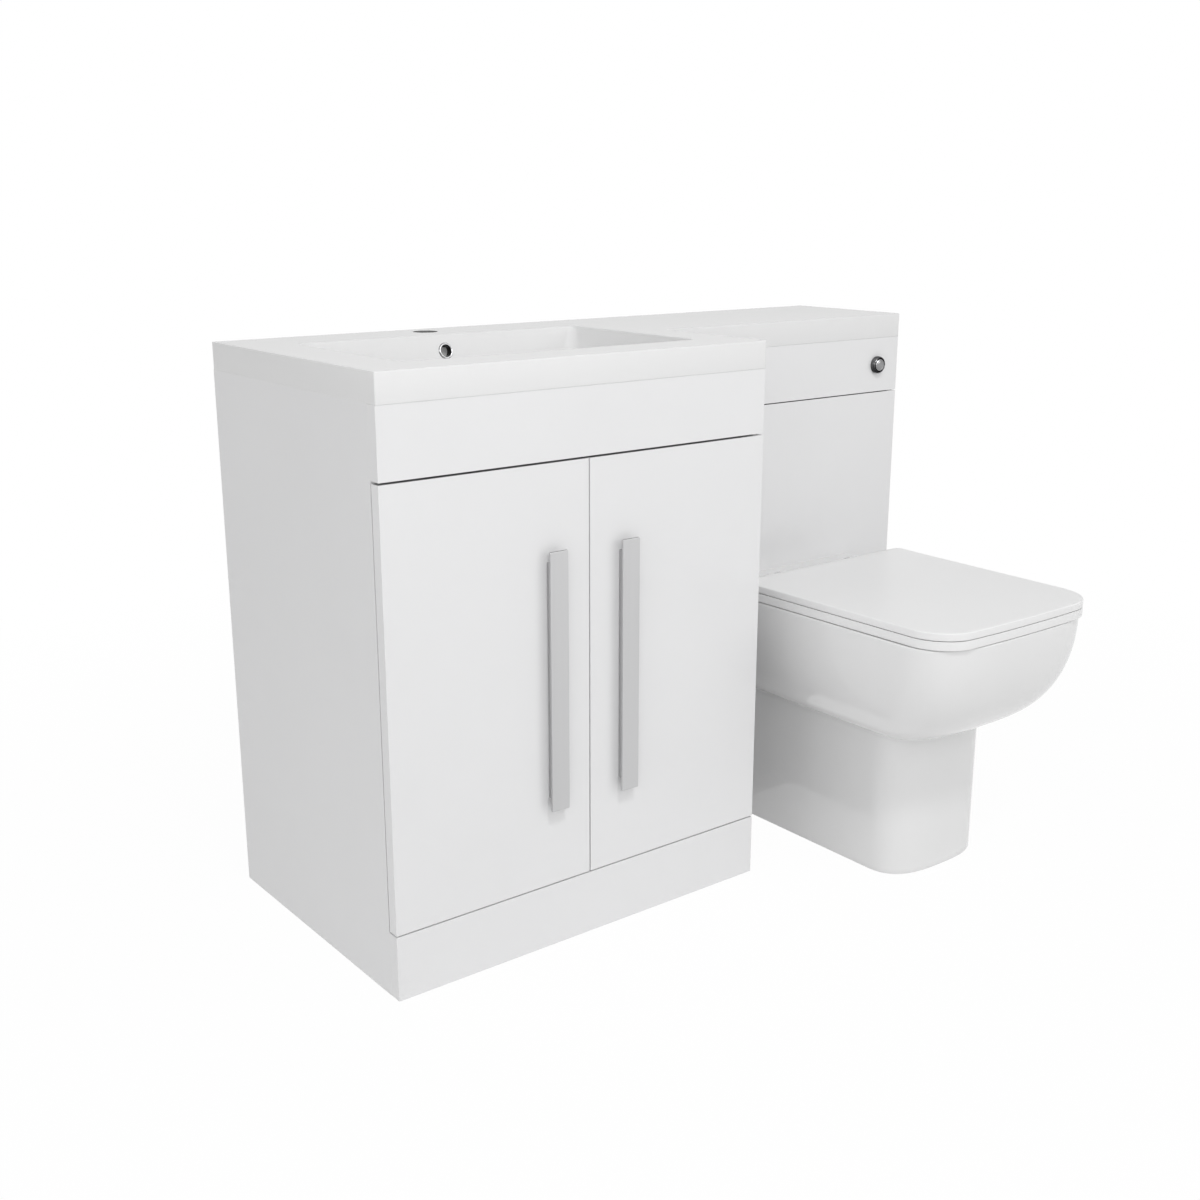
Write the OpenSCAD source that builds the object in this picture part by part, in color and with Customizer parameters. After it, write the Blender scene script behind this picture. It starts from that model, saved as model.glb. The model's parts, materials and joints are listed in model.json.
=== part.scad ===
// Combined basin cabinet and back-to-wall toilet unit.
// Modelled in a wall frame: X to the right from the left end, Y out of the wall (front is -Y),
// Z up from the floor. row() then moves the origin to the middle of the footprint.

/* [Cabinets] */
// Width of the basin cabinet
vanity_w = 596; // [450:1:800]
// Depth of the basin cabinet, to the front of the top
vanity_d = 435; // [400:1:480]
// Width of the toilet cabinet
wc_w = 504; // [470:1:620]
// Depth of the toilet cabinet, to the front of the top
wc_d = 228; // [215:1:270]
// Height of both cabinets under the top
carcass_h = 740; // [720:1:800]
// Overhang of the top in front of the boards
top_lip = 1; // [0:0.5:5]

/* [Boards] */
// Thickness of side, base, shelf and rail boards
board_t = 16; // [12:1:18]
// Thickness of fascia, door, plinth and panel boards
front_t = 18; // [16:1:22]
// Height of the plinth
plinth_h = 87; // [60:1:110]
// Height of the fascia boards under the top
fascia_h = 87; // [80:1:95]
// Gap between door and fascia
fascia_gap = 3.5; // [2:0.5:6]
// Gap between door and plinth
plinth_gap = 2; // [1:0.5:4]
// Gap between the two doors, and between fascia and toilet front panel
door_gap = 2.5; // [1.5:0.5:5]
// Gap between a door and the side board behind it
door_back_gap = 2; // [1.6:0.1:4]
// Height of the rails
rail_h = 80; // [60:1:95]
// Height of the top face of the shelf
shelf_z = 346; // [300:1:400]
// Depth of the shelf
shelf_d = 300; // [200:1:340]

/* [Doors] */
// Length of a handle plate
handle_l = 344; // [200:1:400]
// Width of a handle plate
handle_w = 27; // [18:1:36]
// Thickness of a handle plate
handle_t = 3.5; // [2:0.5:6]
// How far a handle stands off its door
handle_out = 14; // [10:1:40]
// Width of the standing web behind a handle plate
handle_web_w = 16; // [10:1:18]
// How far the web stops short of the plate's ends
handle_inset = 15; // [5:1:30]
// Handle centre from the free edge of its door
handle_in = 56; // [40:1:90]
// Diameter of a hinge cup
cup_d = 35; // [26:1:40]
// Height of the lower hinge above the door's lower edge, and of the upper one below its upper edge
hinge_end = 95; // [70:1:130]

/* [Basin] */
// Edge thickness of the top
top_t = 37; // [30:1:50]
// Thickness of the resin
resin_t = 13; // [10:1:16]
// Bowl length at the top
bowl_l = 454; // [360:1:460]
// Bowl depth from front to back at the top
bowl_w = 277; // [220:1:285]
// Depth of the bowl
bowl_deep = 115; // [80:1:120]
// Width of the ledge behind the bowl
ledge_w = 90; // [80:1:110]
// Distance from the left end to the bowl
bowl_x = 76; // [50:1:90]
// Inward slope of the bowl walls over their height
bowl_draft = 25; // [10:1:40]
// Radius of the bowl's upright corners
bowl_r = 12; // [6:1:20]
// Radius where the bowl walls meet its floor
bowl_floor_r = 22; // [12:1:30]
// Diameter of the tap hole
tap_d = 35; // [32:1:38]
// Distance from the wall to the tap hole
tap_y = 42; // [38:1:50]
// Diameter of the overflow opening
overflow_d = 18; // [12:1:20]
// Height of the overflow centre below the top
overflow_z = 23; // [20:1:40]
// Diameter of the basin waste body
waste_d = 42; // [40:1:46]
// Diameter of the waste pipe
pipe_d = 32; // [30:1:34]
// Opening travel of the waste plug
plug_travel = 9; // [5:1:12]

/* [Flush] */
// Diameter of the button
button_d = 21; // [16:1:22]
// Diameter of the button bezel
bezel_d = 30; // [29:1:40]
// How far the button stands out of the board
button_out = 10; // [8:1:16]
// Travel of the button
button_travel = 7; // [3:1:7]
// Distance from the right end to the button
button_in = 50; // [35:1:60]
// Height of the button below the top of the boards
button_down = 44; // [34:1:50]
// Width of the cistern
cistern_w = 370; // [320:1:390]
// Depth of the cistern
cistern_d = 140; // [120:1:160]
// Height of the cistern's underside above the flush pipe's way into the pan
cistern_up = 98; // [94:1:120]
// Wall of the cistern
cistern_wall = 4; // [3:0.5:6]
// Diameter of the flush pipe
flush_d = 44; // [40:1:50]
// Depth of the flush pipe's middle below the rim, where it enters the pan
flush_down = 45; // [40:1:65]
// Travel of the float
float_travel = 60; // [30:1:80]

/* [Toilet] */
// Distance from the toilet cabinet's left end to the middle of the pan
pan_in = 244; // [235:1:252]
// Width of the pan at the rim
pan_w = 348; // [320:1:370]
// Projection of the pan from its cabinet
pan_l = 482; // [460:1:520]
// Height of the rim
rim_h = 385; // [380:1:400]
// Width of the foot
foot_w = 200; // [180:1:230]
// Projection of the foot from its cabinet
foot_l = 364; // [340:1:400]
// Height of the crease between foot and bowl
crease_z = 220; // [190:1:235]
// Thickness of the ceramic
ceramic_t = 13; // [10:1:16]
// Diameter of the soil spigot
spigot_d = 102; // [98:1:106]
// Height of the soil outlet
soil_z = 180; // [178:1:190]
// Diameter of the soil pipe
soil_d = 110; // [108:1:112]
// Length of the seat and lid from hinge edge to front
lid_l = 385; // [380:1:410]
// Width of the seat and lid
lid_w = 350; // [330:1:370]
// Thickness of the lid
lid_t = 11.5; // [9:0.5:16]
// Thickness of the seat
seat_t = 12; // [10:0.5:18]
// Distance from the cabinet front to the hinge axis
hinge_y = 77; // [70:1:90]
// Distance between the two seat hinges
hinge_span = 155; // [130:1:180]

/* [Hidden] */
$fn = 64;
fit = 0.3; // clearance between parts that pass each other
run_fit = 0.05; // radial clearance of a pin in its hole
eps = 0.01; // overlap of cuts past a face
total_w = vanity_w + wc_w;
top_z = carcass_h + top_t;
front_y = -(vanity_d - top_lip); // front face of doors, fascia and plinth
case_y = front_y + front_t; // front edge of the vanity's side boards
wc_front_y = -(wc_d - top_lip); // front face of the toilet panels
wc_case_y = wc_front_y + front_t;
lid_ear = 20; // reach of the lid's and seat's ears behind their back edge
hinge_axis_y = wc_front_y - hinge_y;
lid_back_y = hinge_axis_y - lid_ear;
lid_front_y = lid_back_y - lid_l;
total_d = -lid_front_y;
pan_x = vanity_w + pan_in;

// doors
fascia_z = carcass_h - fascia_h;
door_z0 = plinth_h + plinth_gap;
door_z1 = fascia_z - fascia_gap;
door_h = door_z1 - door_z0;
door_w = (vanity_w - door_gap) / 2;
door_back_y = case_y - door_back_gap;
door_t = door_back_y - front_y;
door_mid_z = (door_z0 + door_z1) / 2;
hinge_zs = [door_z0 + hinge_end, door_z1 - hinge_end];
cup_edge = 5; // wood left between a cup and the door's edge
cup_deep = 11.5;
cup_wall = 1.5;
cup_flange = [46, 1.2, 24]; // plate of the cup: length along Z, thickness, width along X
cup_x = cup_edge + cup_d / 2; // cup centre from the door's outer edge
plate_y = 37; // hinge plate centre behind the board's front edge
plate = [3, 44, 50]; // plate on the side board
arm = [13, 58, 12]; // hinge arm
handle_screw_d = 4;
handle_screw_zs = [-1, 1] * (handle_l / 2 - handle_inset - 12);
screw_head_d = 9;
screw_head_t = 2.2;
handle_screw_len = door_t + 8;

// basin
apron_w = 14; // width of the top's turned-down edge
bowl_y = -ledge_w; // back edge of the bowl at the top
bowl_mid_x = bowl_x + bowl_l / 2;
bowl_mid_y = bowl_y - bowl_w / 2;
bowl_z = top_z - bowl_deep;
overflow_h = top_z - overflow_z;
// the wall leans from the top edge to where it touches the floor radius
wall_run = [bowl_draft + bowl_floor_r, bowl_deep - bowl_floor_r];
overflow_lean = atan2(wall_run[0], wall_run[1]) - asin(bowl_floor_r / norm(wall_run));
overflow_y = bowl_y - overflow_z * tan(overflow_lean);
ring = [24, 2.2, 6, 13]; // overflow ring: diameter, thickness, depth in the wall, bore
channel = [30, 14]; // inside of the overflow channel: width and depth
channel_wall = 5;
waste_slot = 14; // width of the overflow slots in the waste body
floor_corner_r = 12;
channel_back_y = bowl_y + 24;
tap_pad = [60, 24]; // diameter and depth of the resin under the tap hole
waste_y = bowl_mid_y;
waste_top = [65, 3]; // flange diameter and thickness
waste_wall = 3;
waste_seat_d = 72; // resin boss round the waste
waste_len = 84; // waste body below the bowl floor
waste_bottom = bowl_z - waste_len;
channel_z = bowl_z - resin_t - channel[1] - channel_wall; // underside of the floor channel
plug_d = 58;
stem_d = 8;
web_z = bowl_z - 44; // middle of the web that guides the stem
trap_d = 62;
trap_h = 96;
trap_nut = [56, 30];
trap_z1 = waste_bottom - 6; // top of the trap body
trap_z0 = trap_z1 - trap_h;
trap_out_z = trap_z1 - 28;
pipe_wall = 2;
pipe_tail_d = pipe_d - 0.8; // turned end inside the trap's nut
trap_nut_out = 20; // reach of the outlet nut beyond the trap's body

// toilet cabinet
button_x = total_w - button_in;
button_z = carcass_h - button_down;
barrel_wall = 2;
barrel_d = button_d + 2 * (barrel_wall + 0.2); // thread behind the bezel
barrel_len = front_t + 26;
bezel_out = 6; // how far the bezel stands out
button_len = 24;
button_end_y = wc_front_y + barrel_len + 6; // back of the button housing
soil_hole_d = soil_d + 16;
flush_hole_d = flush_d + 16;
flush_z = rim_h - flush_down;
cistern_z = flush_z + cistern_up; // underside of the tank
cistern_h = carcass_h - rail_h / 2 - cistern_z;
cistern_back_y = -board_t;
cistern_mid_y = cistern_back_y - cistern_d / 2;
cistern_r = 18;
cistern_top_z = cistern_z + cistern_h;
lid_skirt = 10;
fill_x = pan_x - cistern_w / 2 + 48;
fill_d = 26;
inlet_d = 20.8; // half-inch pipe thread
inlet_len = 34;
shank_d = inlet_d + 1.2; // shank through the tank's floor
fill_nut_h = 10;
float_size = [62, 46]; // diameter and height
fill_cap = [40, 30]; // diameter and height of the valve's head
fill_cap_z = cistern_top_z - lid_skirt - 14 - fill_cap[1];
float_z = fill_cap_z - 6 - float_travel - float_size[1]; // underside with the tank empty
valve_d = 70;
valve_base = 22;
valve_h = cistern_h - 72;
valve_tail = [58, 22]; // threaded tail: diameter and length under the tank
lift_d = 34; // overflow tube that carries the seal
flush_bend = 46;
flush_wall = 2;
seal_len = 26;

// pan
pan_back_y = wc_front_y;
pan_r = 102; // depth of the bowl's front curve
foot_r = 64;
deck_w = 304; // width of the pan at its back
rim_power = 3.6; // squareness of the rim's front curve
foot_power = 2.9;
bulge_power = 2.2; // fullness of the bowl's side between crease and rim
spigot_wall = 7;
spigot_out = 22;
ring_steps = 14;
bowl_levels = 12;
well = [232, 272, 93]; // mouth of the bowl: width, length, distance from hinge axis to its back edge
sump = [96, 116, 140]; // floor of the bowl: width, length and height above the floor
sump_u = 235; // middle of the sump from the cabinet
trap_bore_d = 70;
seat_bolt_d = 12; // holes for the seat's bolts
seat_bolt = [8, 36]; // diameter and length of a bolt below the rim
seat_plug_len = 31; // rubber plug round the bolt
seat_gap = 1.5; // between rim and seat
lid_gap = 1.3; // between seat and lid
seat_z = rim_h + seat_gap;
lid_z = seat_z + seat_t + lid_gap;
hinge_z = seat_z + seat_t / 2 + 3;
hinge_pin_d = 9;
post = [12, 18, 25, 2]; // hinge post: width, depth, base diameter, base thickness
ear = [13, 16]; // ear width and diameter
ear_root = 3; // depth of an ear inside the plate
ear_gap = 0.4;
seat_hole = [216, 258, 80]; // opening of the seat: width, length, distance from its back edge
seat_hole_u = lid_ear + hinge_y + seat_hole[2] + seat_hole[1] / 2; // its middle, from the cabinet
corner_r = [12, 56]; // back and front corners of seat and lid
lid_bow = 6; // forward bow of the front edge
lid_taper = 6; // narrowing of each side towards the front
pan_bracket = [34, 5, 40, 30]; // floor leg, thickness, height and width of a pan bracket
pan_bracket_u = 36; // distance of the brackets from the cabinet
pan_screw_z = 24;
pan_screw = [7, 26, 15, 3]; // diameter, length, and diameter and height of its cap
pan_hole = [8, 20]; // floor hole: diameter and distance from the bracket's upright

// ---- helpers ----

module row() { translate([-total_w / 2, total_d / 2, 0]) children(); }

// board with its lowest left front corner at p
module board(p, s) { translate(p) cube(s); }

module both_sides(x) { for (k = [0, 1]) translate([x, 0, 0]) mirror([k, 0, 0]) children(); }

module along_y(d, len) { rotate([90, 0, 0]) cylinder(d = d, h = len); }

module along_x(d, len) { rotate([0, 90, 0]) cylinder(d = d, h = len, center = true); }

module round_rect(w, h, r) {
  square([w - 2 * r, h], center = true);
  square([w, h - 2 * r], center = true);
  for (x = [-1, 1], y = [-1, 1]) translate([x * (w / 2 - r), y * (h / 2 - r)]) circle(r);
}

module tube(d, len, wall) {
  difference() {
    cylinder(d = d, h = len);
    translate([0, 0, -1]) cylinder(d = d - 2 * wall, h = len + 2);
  }
}

module hex_nut(across, len, bore) {
  difference() {
    cylinder(d = across / cos(30), h = len, $fn = 6);
    translate([0, 0, -1]) cylinder(d = bore, h = len + 2);
  }
}

function centre(pts) = [for (p = pts) 1] * pts / len(pts);

// closed surface through rings of equal length, lowest ring first
module loft(rings) {
  n = len(rings[0]);
  m = len(rings);
  points = [for (r = rings) for (p = r) p];
  sides = [for (j = [0:m - 2], i = [0:n - 1]) each
    let (a = j * n + i, b = j * n + (i + 1) % n, c = a + n, d = b + n) [[a, c, b], [b, c, d]]];
  low = [for (i = [0:n - 1]) [m * n, i, (i + 1) % n]];
  high = [for (i = [0:n - 1]) [m * n + 1, (m - 1) * n + (i + 1) % n, (m - 1) * n + i]];
  ends = [centre(rings[0]), centre(rings[m - 1])];
  polyhedron(concat(points, ends), concat(sides, low, high), convexity = 6);
}

// ---- basin cabinet ----

module side_board(x, depth) { board([x, -depth, 0], [board_t, depth, carcass_h]); }

pin_d = 5;
pin_len = [9, 8]; // length in the board and out of it
pin_step = 48;
pin_ys = [-40, -(shelf_d - 30)];

module pin_holes() {
  for (y = pin_ys, k = [-1:1])
    translate([0, y, shelf_z - board_t - pin_d / 2 + k * pin_step]) along_x(pin_d + 2 * run_fit, 20);
}

module vanity_left_side() {
  color("white") row() difference() {
    side_board(0, -case_y);
    translate([board_t, 0, 0]) pin_holes();
  }
}

module vanity_right_side() {
  color("white") row() difference() {
    side_board(vanity_w - board_t, -case_y);
    translate([vanity_w - board_t, 0, 0]) pin_holes();
  }
}

vanity_in = vanity_w - 2 * board_t;

module vanity_base() {
  color("white") row() board([board_t, case_y, plinth_h], [vanity_in, -case_y, board_t]);
}

module vanity_rail(y, z) { board([board_t, y, z], [vanity_in, board_t, rail_h]); }

module vanity_rear_top_rail() {
  color("white") row() vanity_rail(-board_t, carcass_h - rail_h);
}

module vanity_rear_bottom_rail() {
  color("white") row() vanity_rail(-board_t, plinth_h + board_t);
}

front_rail_h = fascia_h + 26;

module vanity_front_rail() {
  color("white") row()
    board([board_t, case_y, carcass_h - front_rail_h], [vanity_in, board_t, front_rail_h]);
}

module vanity_fascia() {
  color("whitesmoke") row() board([0, front_y, fascia_z], [vanity_w, front_t, fascia_h]);
}

module vanity_plinth() {
  color("whitesmoke") row() board([0, front_y, 0], [vanity_w, front_t, plinth_h]);
}

module shelf() {
  color("white") row()
    board([board_t + 1, -shelf_d - 10, shelf_z - board_t], [vanity_in - 2, shelf_d, board_t]);
}

module shelf_pins() {
  color("silver") row() for (k = [0, 1], y = pin_ys)
    translate([k * vanity_w, y, shelf_z - board_t - pin_d / 2]) mirror([k, 0, 0])
      translate([board_t - pin_len[0], 0, 0]) rotate([0, 90, 0])
        cylinder(d = pin_d, h = pin_len[0] + pin_len[1]);
}

buffer = [9, 1.6];
buffer_in = 22; // buffer centre from the middle of the cabinet
buffer_zs = [plinth_h + board_t / 2 + 3, door_z1 - 9];

module door_buffers() {
  color("gainsboro") row() for (x = [-1, 1] * buffer_in, z = buffer_zs)
    translate([vanity_w / 2 + x, case_y, z]) along_y(buffer[0], buffer[1]);
}

// door drawn from its hinged edge at x = 0, for the left door
module door_board() {
  difference() {
    board([0, front_y, door_z0], [door_w, door_t, door_h]);
    for (z = hinge_zs) translate([cup_x, door_back_y + 1, z]) along_y(cup_d + 2 * run_fit, cup_deep + 1.5);
    for (z = handle_screw_zs)
      translate([door_w - handle_in, door_back_y + 1, door_mid_z + z])
        along_y(handle_screw_d + 2 * run_fit, door_t + 2);
  }
}

module on_door(k) {
  row() translate([k * vanity_w, 0, 0]) mirror([k, 0, 0]) children();
}

module left_door() { color("whitesmoke") on_door(0) door_board(); }

module right_door() { color("whitesmoke") on_door(1) door_board(); }

module handle() {
  web_h = handle_l - 2 * handle_inset;
  translate([door_w - handle_in, front_y, door_mid_z]) difference() {
    union() {
      translate([-handle_w / 2, -handle_out, -handle_l / 2]) cube([handle_w, handle_t, handle_l]);
      translate([-handle_web_w / 2, -handle_out + handle_t - eps, -web_h / 2])
        cube([handle_web_w, handle_out - handle_t + eps, web_h]);
    }
    for (z = handle_screw_zs) translate([0, 1, z]) along_y(handle_screw_d + 2 * run_fit, 9.5);
  }
}

module left_handle() { color("silver") on_door(0) handle(); }

module right_handle() { color("silver") on_door(1) handle(); }

module handle_screws() {
  for (z = handle_screw_zs) translate([door_w - handle_in, door_back_y, door_mid_z + z]) {
    along_y(handle_screw_d, handle_screw_len);
    translate([0, screw_head_t, 0]) along_y(screw_head_d, screw_head_t);
  }
}

module handle_screws_left() { color("gray") on_door(0) handle_screws(); }

module handle_screws_right() { color("gray") on_door(1) handle_screws(); }

// cup with its flange, open towards the cabinet, and the knuckle that the arm holds
module hinge_cup() {
  difference() {
    union() {
      along_y(cup_d, cup_deep);
      translate([-cup_flange[2] / 2, 0, -cup_flange[0] / 2])
        cube([cup_flange[2], cup_flange[1], cup_flange[0]]);
    }
    translate([0, cup_flange[1] + 1, 0])
      along_y(cup_d - 2 * cup_wall, cup_deep - cup_wall + cup_flange[1] + 1);
  }
  translate([-cup_d / 2 + cup_wall - eps, -cup_deep + 3, -arm[2] / 2 + 2])
    cube([8, cup_deep - 3, arm[2] - 4]);
}

module hinge_cups() {
  for (z = hinge_zs) translate([cup_x, door_back_y, z]) hinge_cup();
}

module hinge_cups_left() { color("silver") on_door(0) hinge_cups(); }

module hinge_cups_right() { color("silver") on_door(1) hinge_cups(); }

// plate screwed to the side board, and the arm that reaches to the cup
module hinge_arm() {
  translate([board_t, case_y, 0]) {
    translate([0, plate_y - plate[1] / 2, -plate[2] / 2]) cube(plate);
    difference() {
      translate([plate[0] - eps, 0.6, -arm[2] / 2]) cube(arm);
      translate([plate[0] + 2, 6, -arm[2] / 2 + 2]) cube([arm[0], arm[1] - 12, arm[2] - 4]);
    }
    for (s = [-1, 1]) translate([plate[0] - eps, plate_y, s * 18])
      rotate([0, 90, 0]) cylinder(d = 8, h = 2);
  }
}

module hinge_arms() {
  color("silver") for (k = [0, 1], z = hinge_zs) on_door(k) translate([0, 0, z]) hinge_arm();
}

// ---- basin ----

// L-shaped outline of the top, moved in by i
function l_outline(i) = [
  [i, -i], [total_w - i, -i], [total_w - i, i - wc_d],
  [vanity_w - i, i - wc_d], [vanity_w - i, i - vanity_d], [i, i - vanity_d]
];

// one level of the bowl: a rectangle moved in by i, with round corners
function bowl_ring(z, i, r) = [for (q = [0:3], k = [0:6]) let (a = 90 * q + 15 * k, c = i + r)
  [bowl_mid_x + (q == 0 || q == 3 ? 1 : -1) * (bowl_l / 2 - c) + r * cos(a),
    bowl_mid_y + (q < 2 ? 1 : -1) * (bowl_w / 2 - c) + r * sin(a), z]];

// bowl with a rounded floor edge and drafted walls: inside at grow = 0, outside at grow = resin_t
module bowl_form(grow, rise) {
  wall_t = 90 - overflow_lean;
  low_in = bowl_draft + bowl_floor_r;
  r = bowl_floor_r + grow;
  loft(concat(
    [for (k = [0:5]) let (t = wall_t * k / 5)
      bowl_ring(bowl_z + bowl_floor_r - r * cos(t), low_in - r * sin(t), floor_corner_r + r * sin(t))],
    [bowl_ring(top_z + rise, -grow / cos(overflow_lean) - rise * tan(overflow_lean), bowl_r + grow)]));
}

// overflow channel: down behind the bowl, then forwards under its floor to the waste
module channel_form(wall) {
  h = channel[1] + 2 * wall;
  w = channel[0] + 2 * wall;
  back_y = channel_back_y + wall;
  translate([bowl_mid_x - w / 2, 0, channel_z + channel_wall - wall]) {
    translate([0, back_y - h, 0]) cube([w, h, overflow_h + 6 - channel_z - channel_wall]);
    translate([0, waste_y, 0]) cube([w, back_y - waste_y, h]);
  }
}

module basin_top() {
  color("white") row() difference() {
    union() {
      difference() {
        translate([0, 0, carcass_h]) linear_extrude(top_t) polygon(l_outline(0));
        translate([0, 0, carcass_h - 1]) linear_extrude(top_t - resin_t + 1)
          polygon(l_outline(apron_w));
      }
      bowl_form(resin_t, -1);
      channel_form(channel_wall);
      translate([bowl_mid_x, -tap_y, top_z - tap_pad[1]]) cylinder(d = tap_pad[0], h = tap_pad[1] - 1);
      translate([bowl_mid_x, waste_y, channel_z]) cylinder(d = waste_seat_d, h = bowl_z - channel_z);
    }
    bowl_form(0, 1);
    channel_form(0);
    translate([bowl_mid_x, overflow_y, overflow_h]) rotate([-overflow_lean, 0, 0])
      translate([0, 28, 0]) along_y(overflow_d, 40);
    translate([bowl_mid_x, -tap_y, top_z - tap_pad[1] - 1]) cylinder(d = tap_d, h = tap_pad[1] + 2);
    translate([bowl_mid_x, waste_y, channel_z - 1])
      cylinder(d = waste_d + 2 * fit, h = bowl_z - channel_z + 2);
  }
}

module overflow_ring() {
  color("silver") row() translate([bowl_mid_x, overflow_y, overflow_h]) rotate([-overflow_lean, 0, 0])
    difference() {
      union() {
        rotate([90, 0, 0]) cylinder(d1 = ring[0], d2 = ring[0] - 4, h = ring[1]);
        translate([0, ring[2], 0]) along_y(overflow_d - 2 * run_fit, ring[2] + 1);
      }
      translate([0, ring[2] + 1, 0]) along_y(ring[3], ring[2] + ring[1] + 2);
    }
}

module basin_waste() {
  bore = waste_d - 2 * waste_wall;
  color("silver") row() translate([bowl_mid_x, waste_y, 0]) {
    difference() {
      union() {
        translate([0, 0, bowl_z]) cylinder(d1 = waste_top[0], d2 = waste_top[0] - 6, h = waste_top[1]);
        translate([0, 0, waste_bottom]) cylinder(d = waste_d, h = waste_len + 1);
      }
      translate([0, 0, waste_bottom - 1]) cylinder(d = bore, h = waste_len + waste_top[1] + 2);
      translate([-waste_slot / 2, -waste_d, bowl_z - resin_t - channel[1] + 1])
        cube([waste_slot, 2 * waste_d, channel[1] - 2]);
    }
    difference() {
      union() {
        translate([0, 0, web_z - 6]) cylinder(d = stem_d + 6, h = 12);
        for (a = [0:120:359]) rotate([0, 0, a + 30]) translate([0, -1.5, web_z - 4])
          cube([bore / 2 + 1, 3, 8]);
      }
      translate([0, 0, web_z - 7]) cylinder(d = stem_d + 2 * run_fit, h = 14);
    }
  }
}

// plug closed; it rises by plug_travel
module waste_plug() {
  z = bowl_z + waste_top[1] + fit;
  color("silver") row() translate([bowl_mid_x, waste_y, 0]) {
    translate([0, 0, z]) cylinder(d = plug_d, h = 3);
    translate([0, 0, z + 3 - eps]) cylinder(d1 = plug_d, d2 = plug_d - 10, h = 2.5);
    translate([0, 0, web_z - 16]) cylinder(d = stem_d, h = z - web_z + 17);
  }
}

module waste_nut() {
  color("gray") row() translate([bowl_mid_x, waste_y, channel_z]) {
    translate([0, 0, -3]) difference() {
      cylinder(d = waste_seat_d - 8, h = 3);
      translate([0, 0, -1]) cylinder(d = waste_d + 2 * run_fit, h = 5);
    }
    translate([0, 0, -3 - 12]) hex_nut(56, 12, waste_d + 2 * run_fit);
  }
}

// ring of small grips round a moulded nut
module grips(d, h) {
  cylinder(d = d, h = h);
  for (a = [0:30:359]) rotate([0, 0, a]) translate([d / 2 - 1, 0, 0]) cylinder(d = 4, h = h);
}

module bottle_trap() {
  color("white") row() translate([bowl_mid_x, waste_y, 0]) difference() {
    union() {
      translate([0, 0, trap_z0]) cylinder(d = trap_d, h = trap_h);
      translate([0, 0, trap_z0]) grips(trap_d + 4, 20);
      translate([0, 0, trap_z1 - eps]) grips(trap_nut[0], trap_nut[1]);
      translate([0, trap_d / 2 + trap_nut_out, trap_out_z]) rotate([90, 0, 0]) grips(pipe_d + 14, 24);
    }
    translate([0, 0, waste_bottom]) cylinder(d = waste_d + 2 * run_fit, h = trap_nut[1] + 10);
    translate([0, 0, trap_z0 + 30]) cylinder(d = pipe_d - 2 * pipe_wall, h = trap_h);
    difference() {
      translate([0, 0, trap_z0 + 3]) cylinder(d = trap_d - 6, h = trap_h - 8);
      translate([0, 0, trap_z0 + 30]) cylinder(d = pipe_d, h = trap_h);
    }
    translate([0, trap_d / 2 + 22, trap_out_z]) along_y(pipe_tail_d + 2 * run_fit, 24);
    translate([0, trap_d / 2 + 2, trap_out_z]) along_y(pipe_d - 2 * pipe_wall, 10);
  }
}

module trap_pipe() {
  y0 = waste_y + trap_d / 2 - 1;
  color("white") row() translate([bowl_mid_x, 0, trap_out_z]) difference() {
    union() {
      along_y(pipe_d, -y0 - trap_nut_out - 1);
      along_y(pipe_tail_d, -y0);
    }
    translate([0, 1, 0]) along_y(pipe_d - 2 * pipe_wall, 2 - y0);
  }
}

// ---- toilet cabinet ----

module wc_left_side() { color("white") row() side_board(vanity_w, -wc_case_y); }

module wc_right_side() { color("white") row() side_board(total_w - board_t, -wc_case_y); }

wc_in = wc_w - 2 * board_t;

module wc_rail(y, z) { board([vanity_w + board_t, y, z], [wc_in, board_t, rail_h]); }

tank_screw_x = cistern_w / 2 - 60;
tank_screw = [5, 14, 11, 2.5]; // diameter, length, head diameter, head thickness
tank_screw_z = cistern_top_z - 18;

module at_tank_screws() {
  for (x = [-1, 1] * tank_screw_x) translate([pan_x + x, cistern_back_y, tank_screw_z]) children();
}

module wc_rear_rail() {
  color("white") row() difference() {
    wc_rail(-board_t, carcass_h - rail_h);
    at_tank_screws() translate([0, tank_screw[1] - cistern_wall, 0])
      along_y(tank_screw[0] + 2 * run_fit, tank_screw[1]);
  }
}

module wc_front_rail() { color("white") row() wc_rail(wc_case_y, fascia_z - rail_h + 12); }

module wc_floor_rail() { color("white") row() wc_rail(wc_case_y, 0); }

module wc_fascia() {
  color("whitesmoke") row() difference() {
    board([vanity_w, wc_front_y, fascia_z], [wc_w, front_t, fascia_h]);
    translate([button_x, wc_case_y + 1, button_z]) along_y(barrel_d + 2 * run_fit, front_t + 2);
  }
}

module wc_front_panel() {
  color("whitesmoke") row() difference() {
    board([vanity_w, wc_front_y, 0], [wc_w, front_t, fascia_z - door_gap]);
    translate([pan_x, wc_case_y + 1, soil_z]) along_y(soil_hole_d, front_t + 2);
    translate([pan_x, wc_case_y + 1, flush_z]) along_y(flush_hole_d, front_t + 2);
  }
}

bracket = [40, 2, 30]; // leg, thickness and height of a wall bracket
wall_hole = [8, 24]; // diameter and distance from the side board
wall_z = carcass_h - rail_h - 2 * bracket[2];

module wall_bracket() {
  difference() {
    union() {
      translate([0, -bracket[0], 0]) cube([bracket[1], bracket[0], bracket[2]]);
      translate([0, -bracket[1], 0]) cube([bracket[0], bracket[1], bracket[2]]);
    }
    translate([wall_hole[1], 1, bracket[2] / 2]) along_y(wall_hole[0], bracket[1] + 2);
  }
  translate([bracket[1] - eps, -bracket[0] * 0.6, bracket[2] / 2]) rotate([0, 90, 0])
    cylinder(d1 = 9, d2 = 6, h = 2.2);
}

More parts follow.
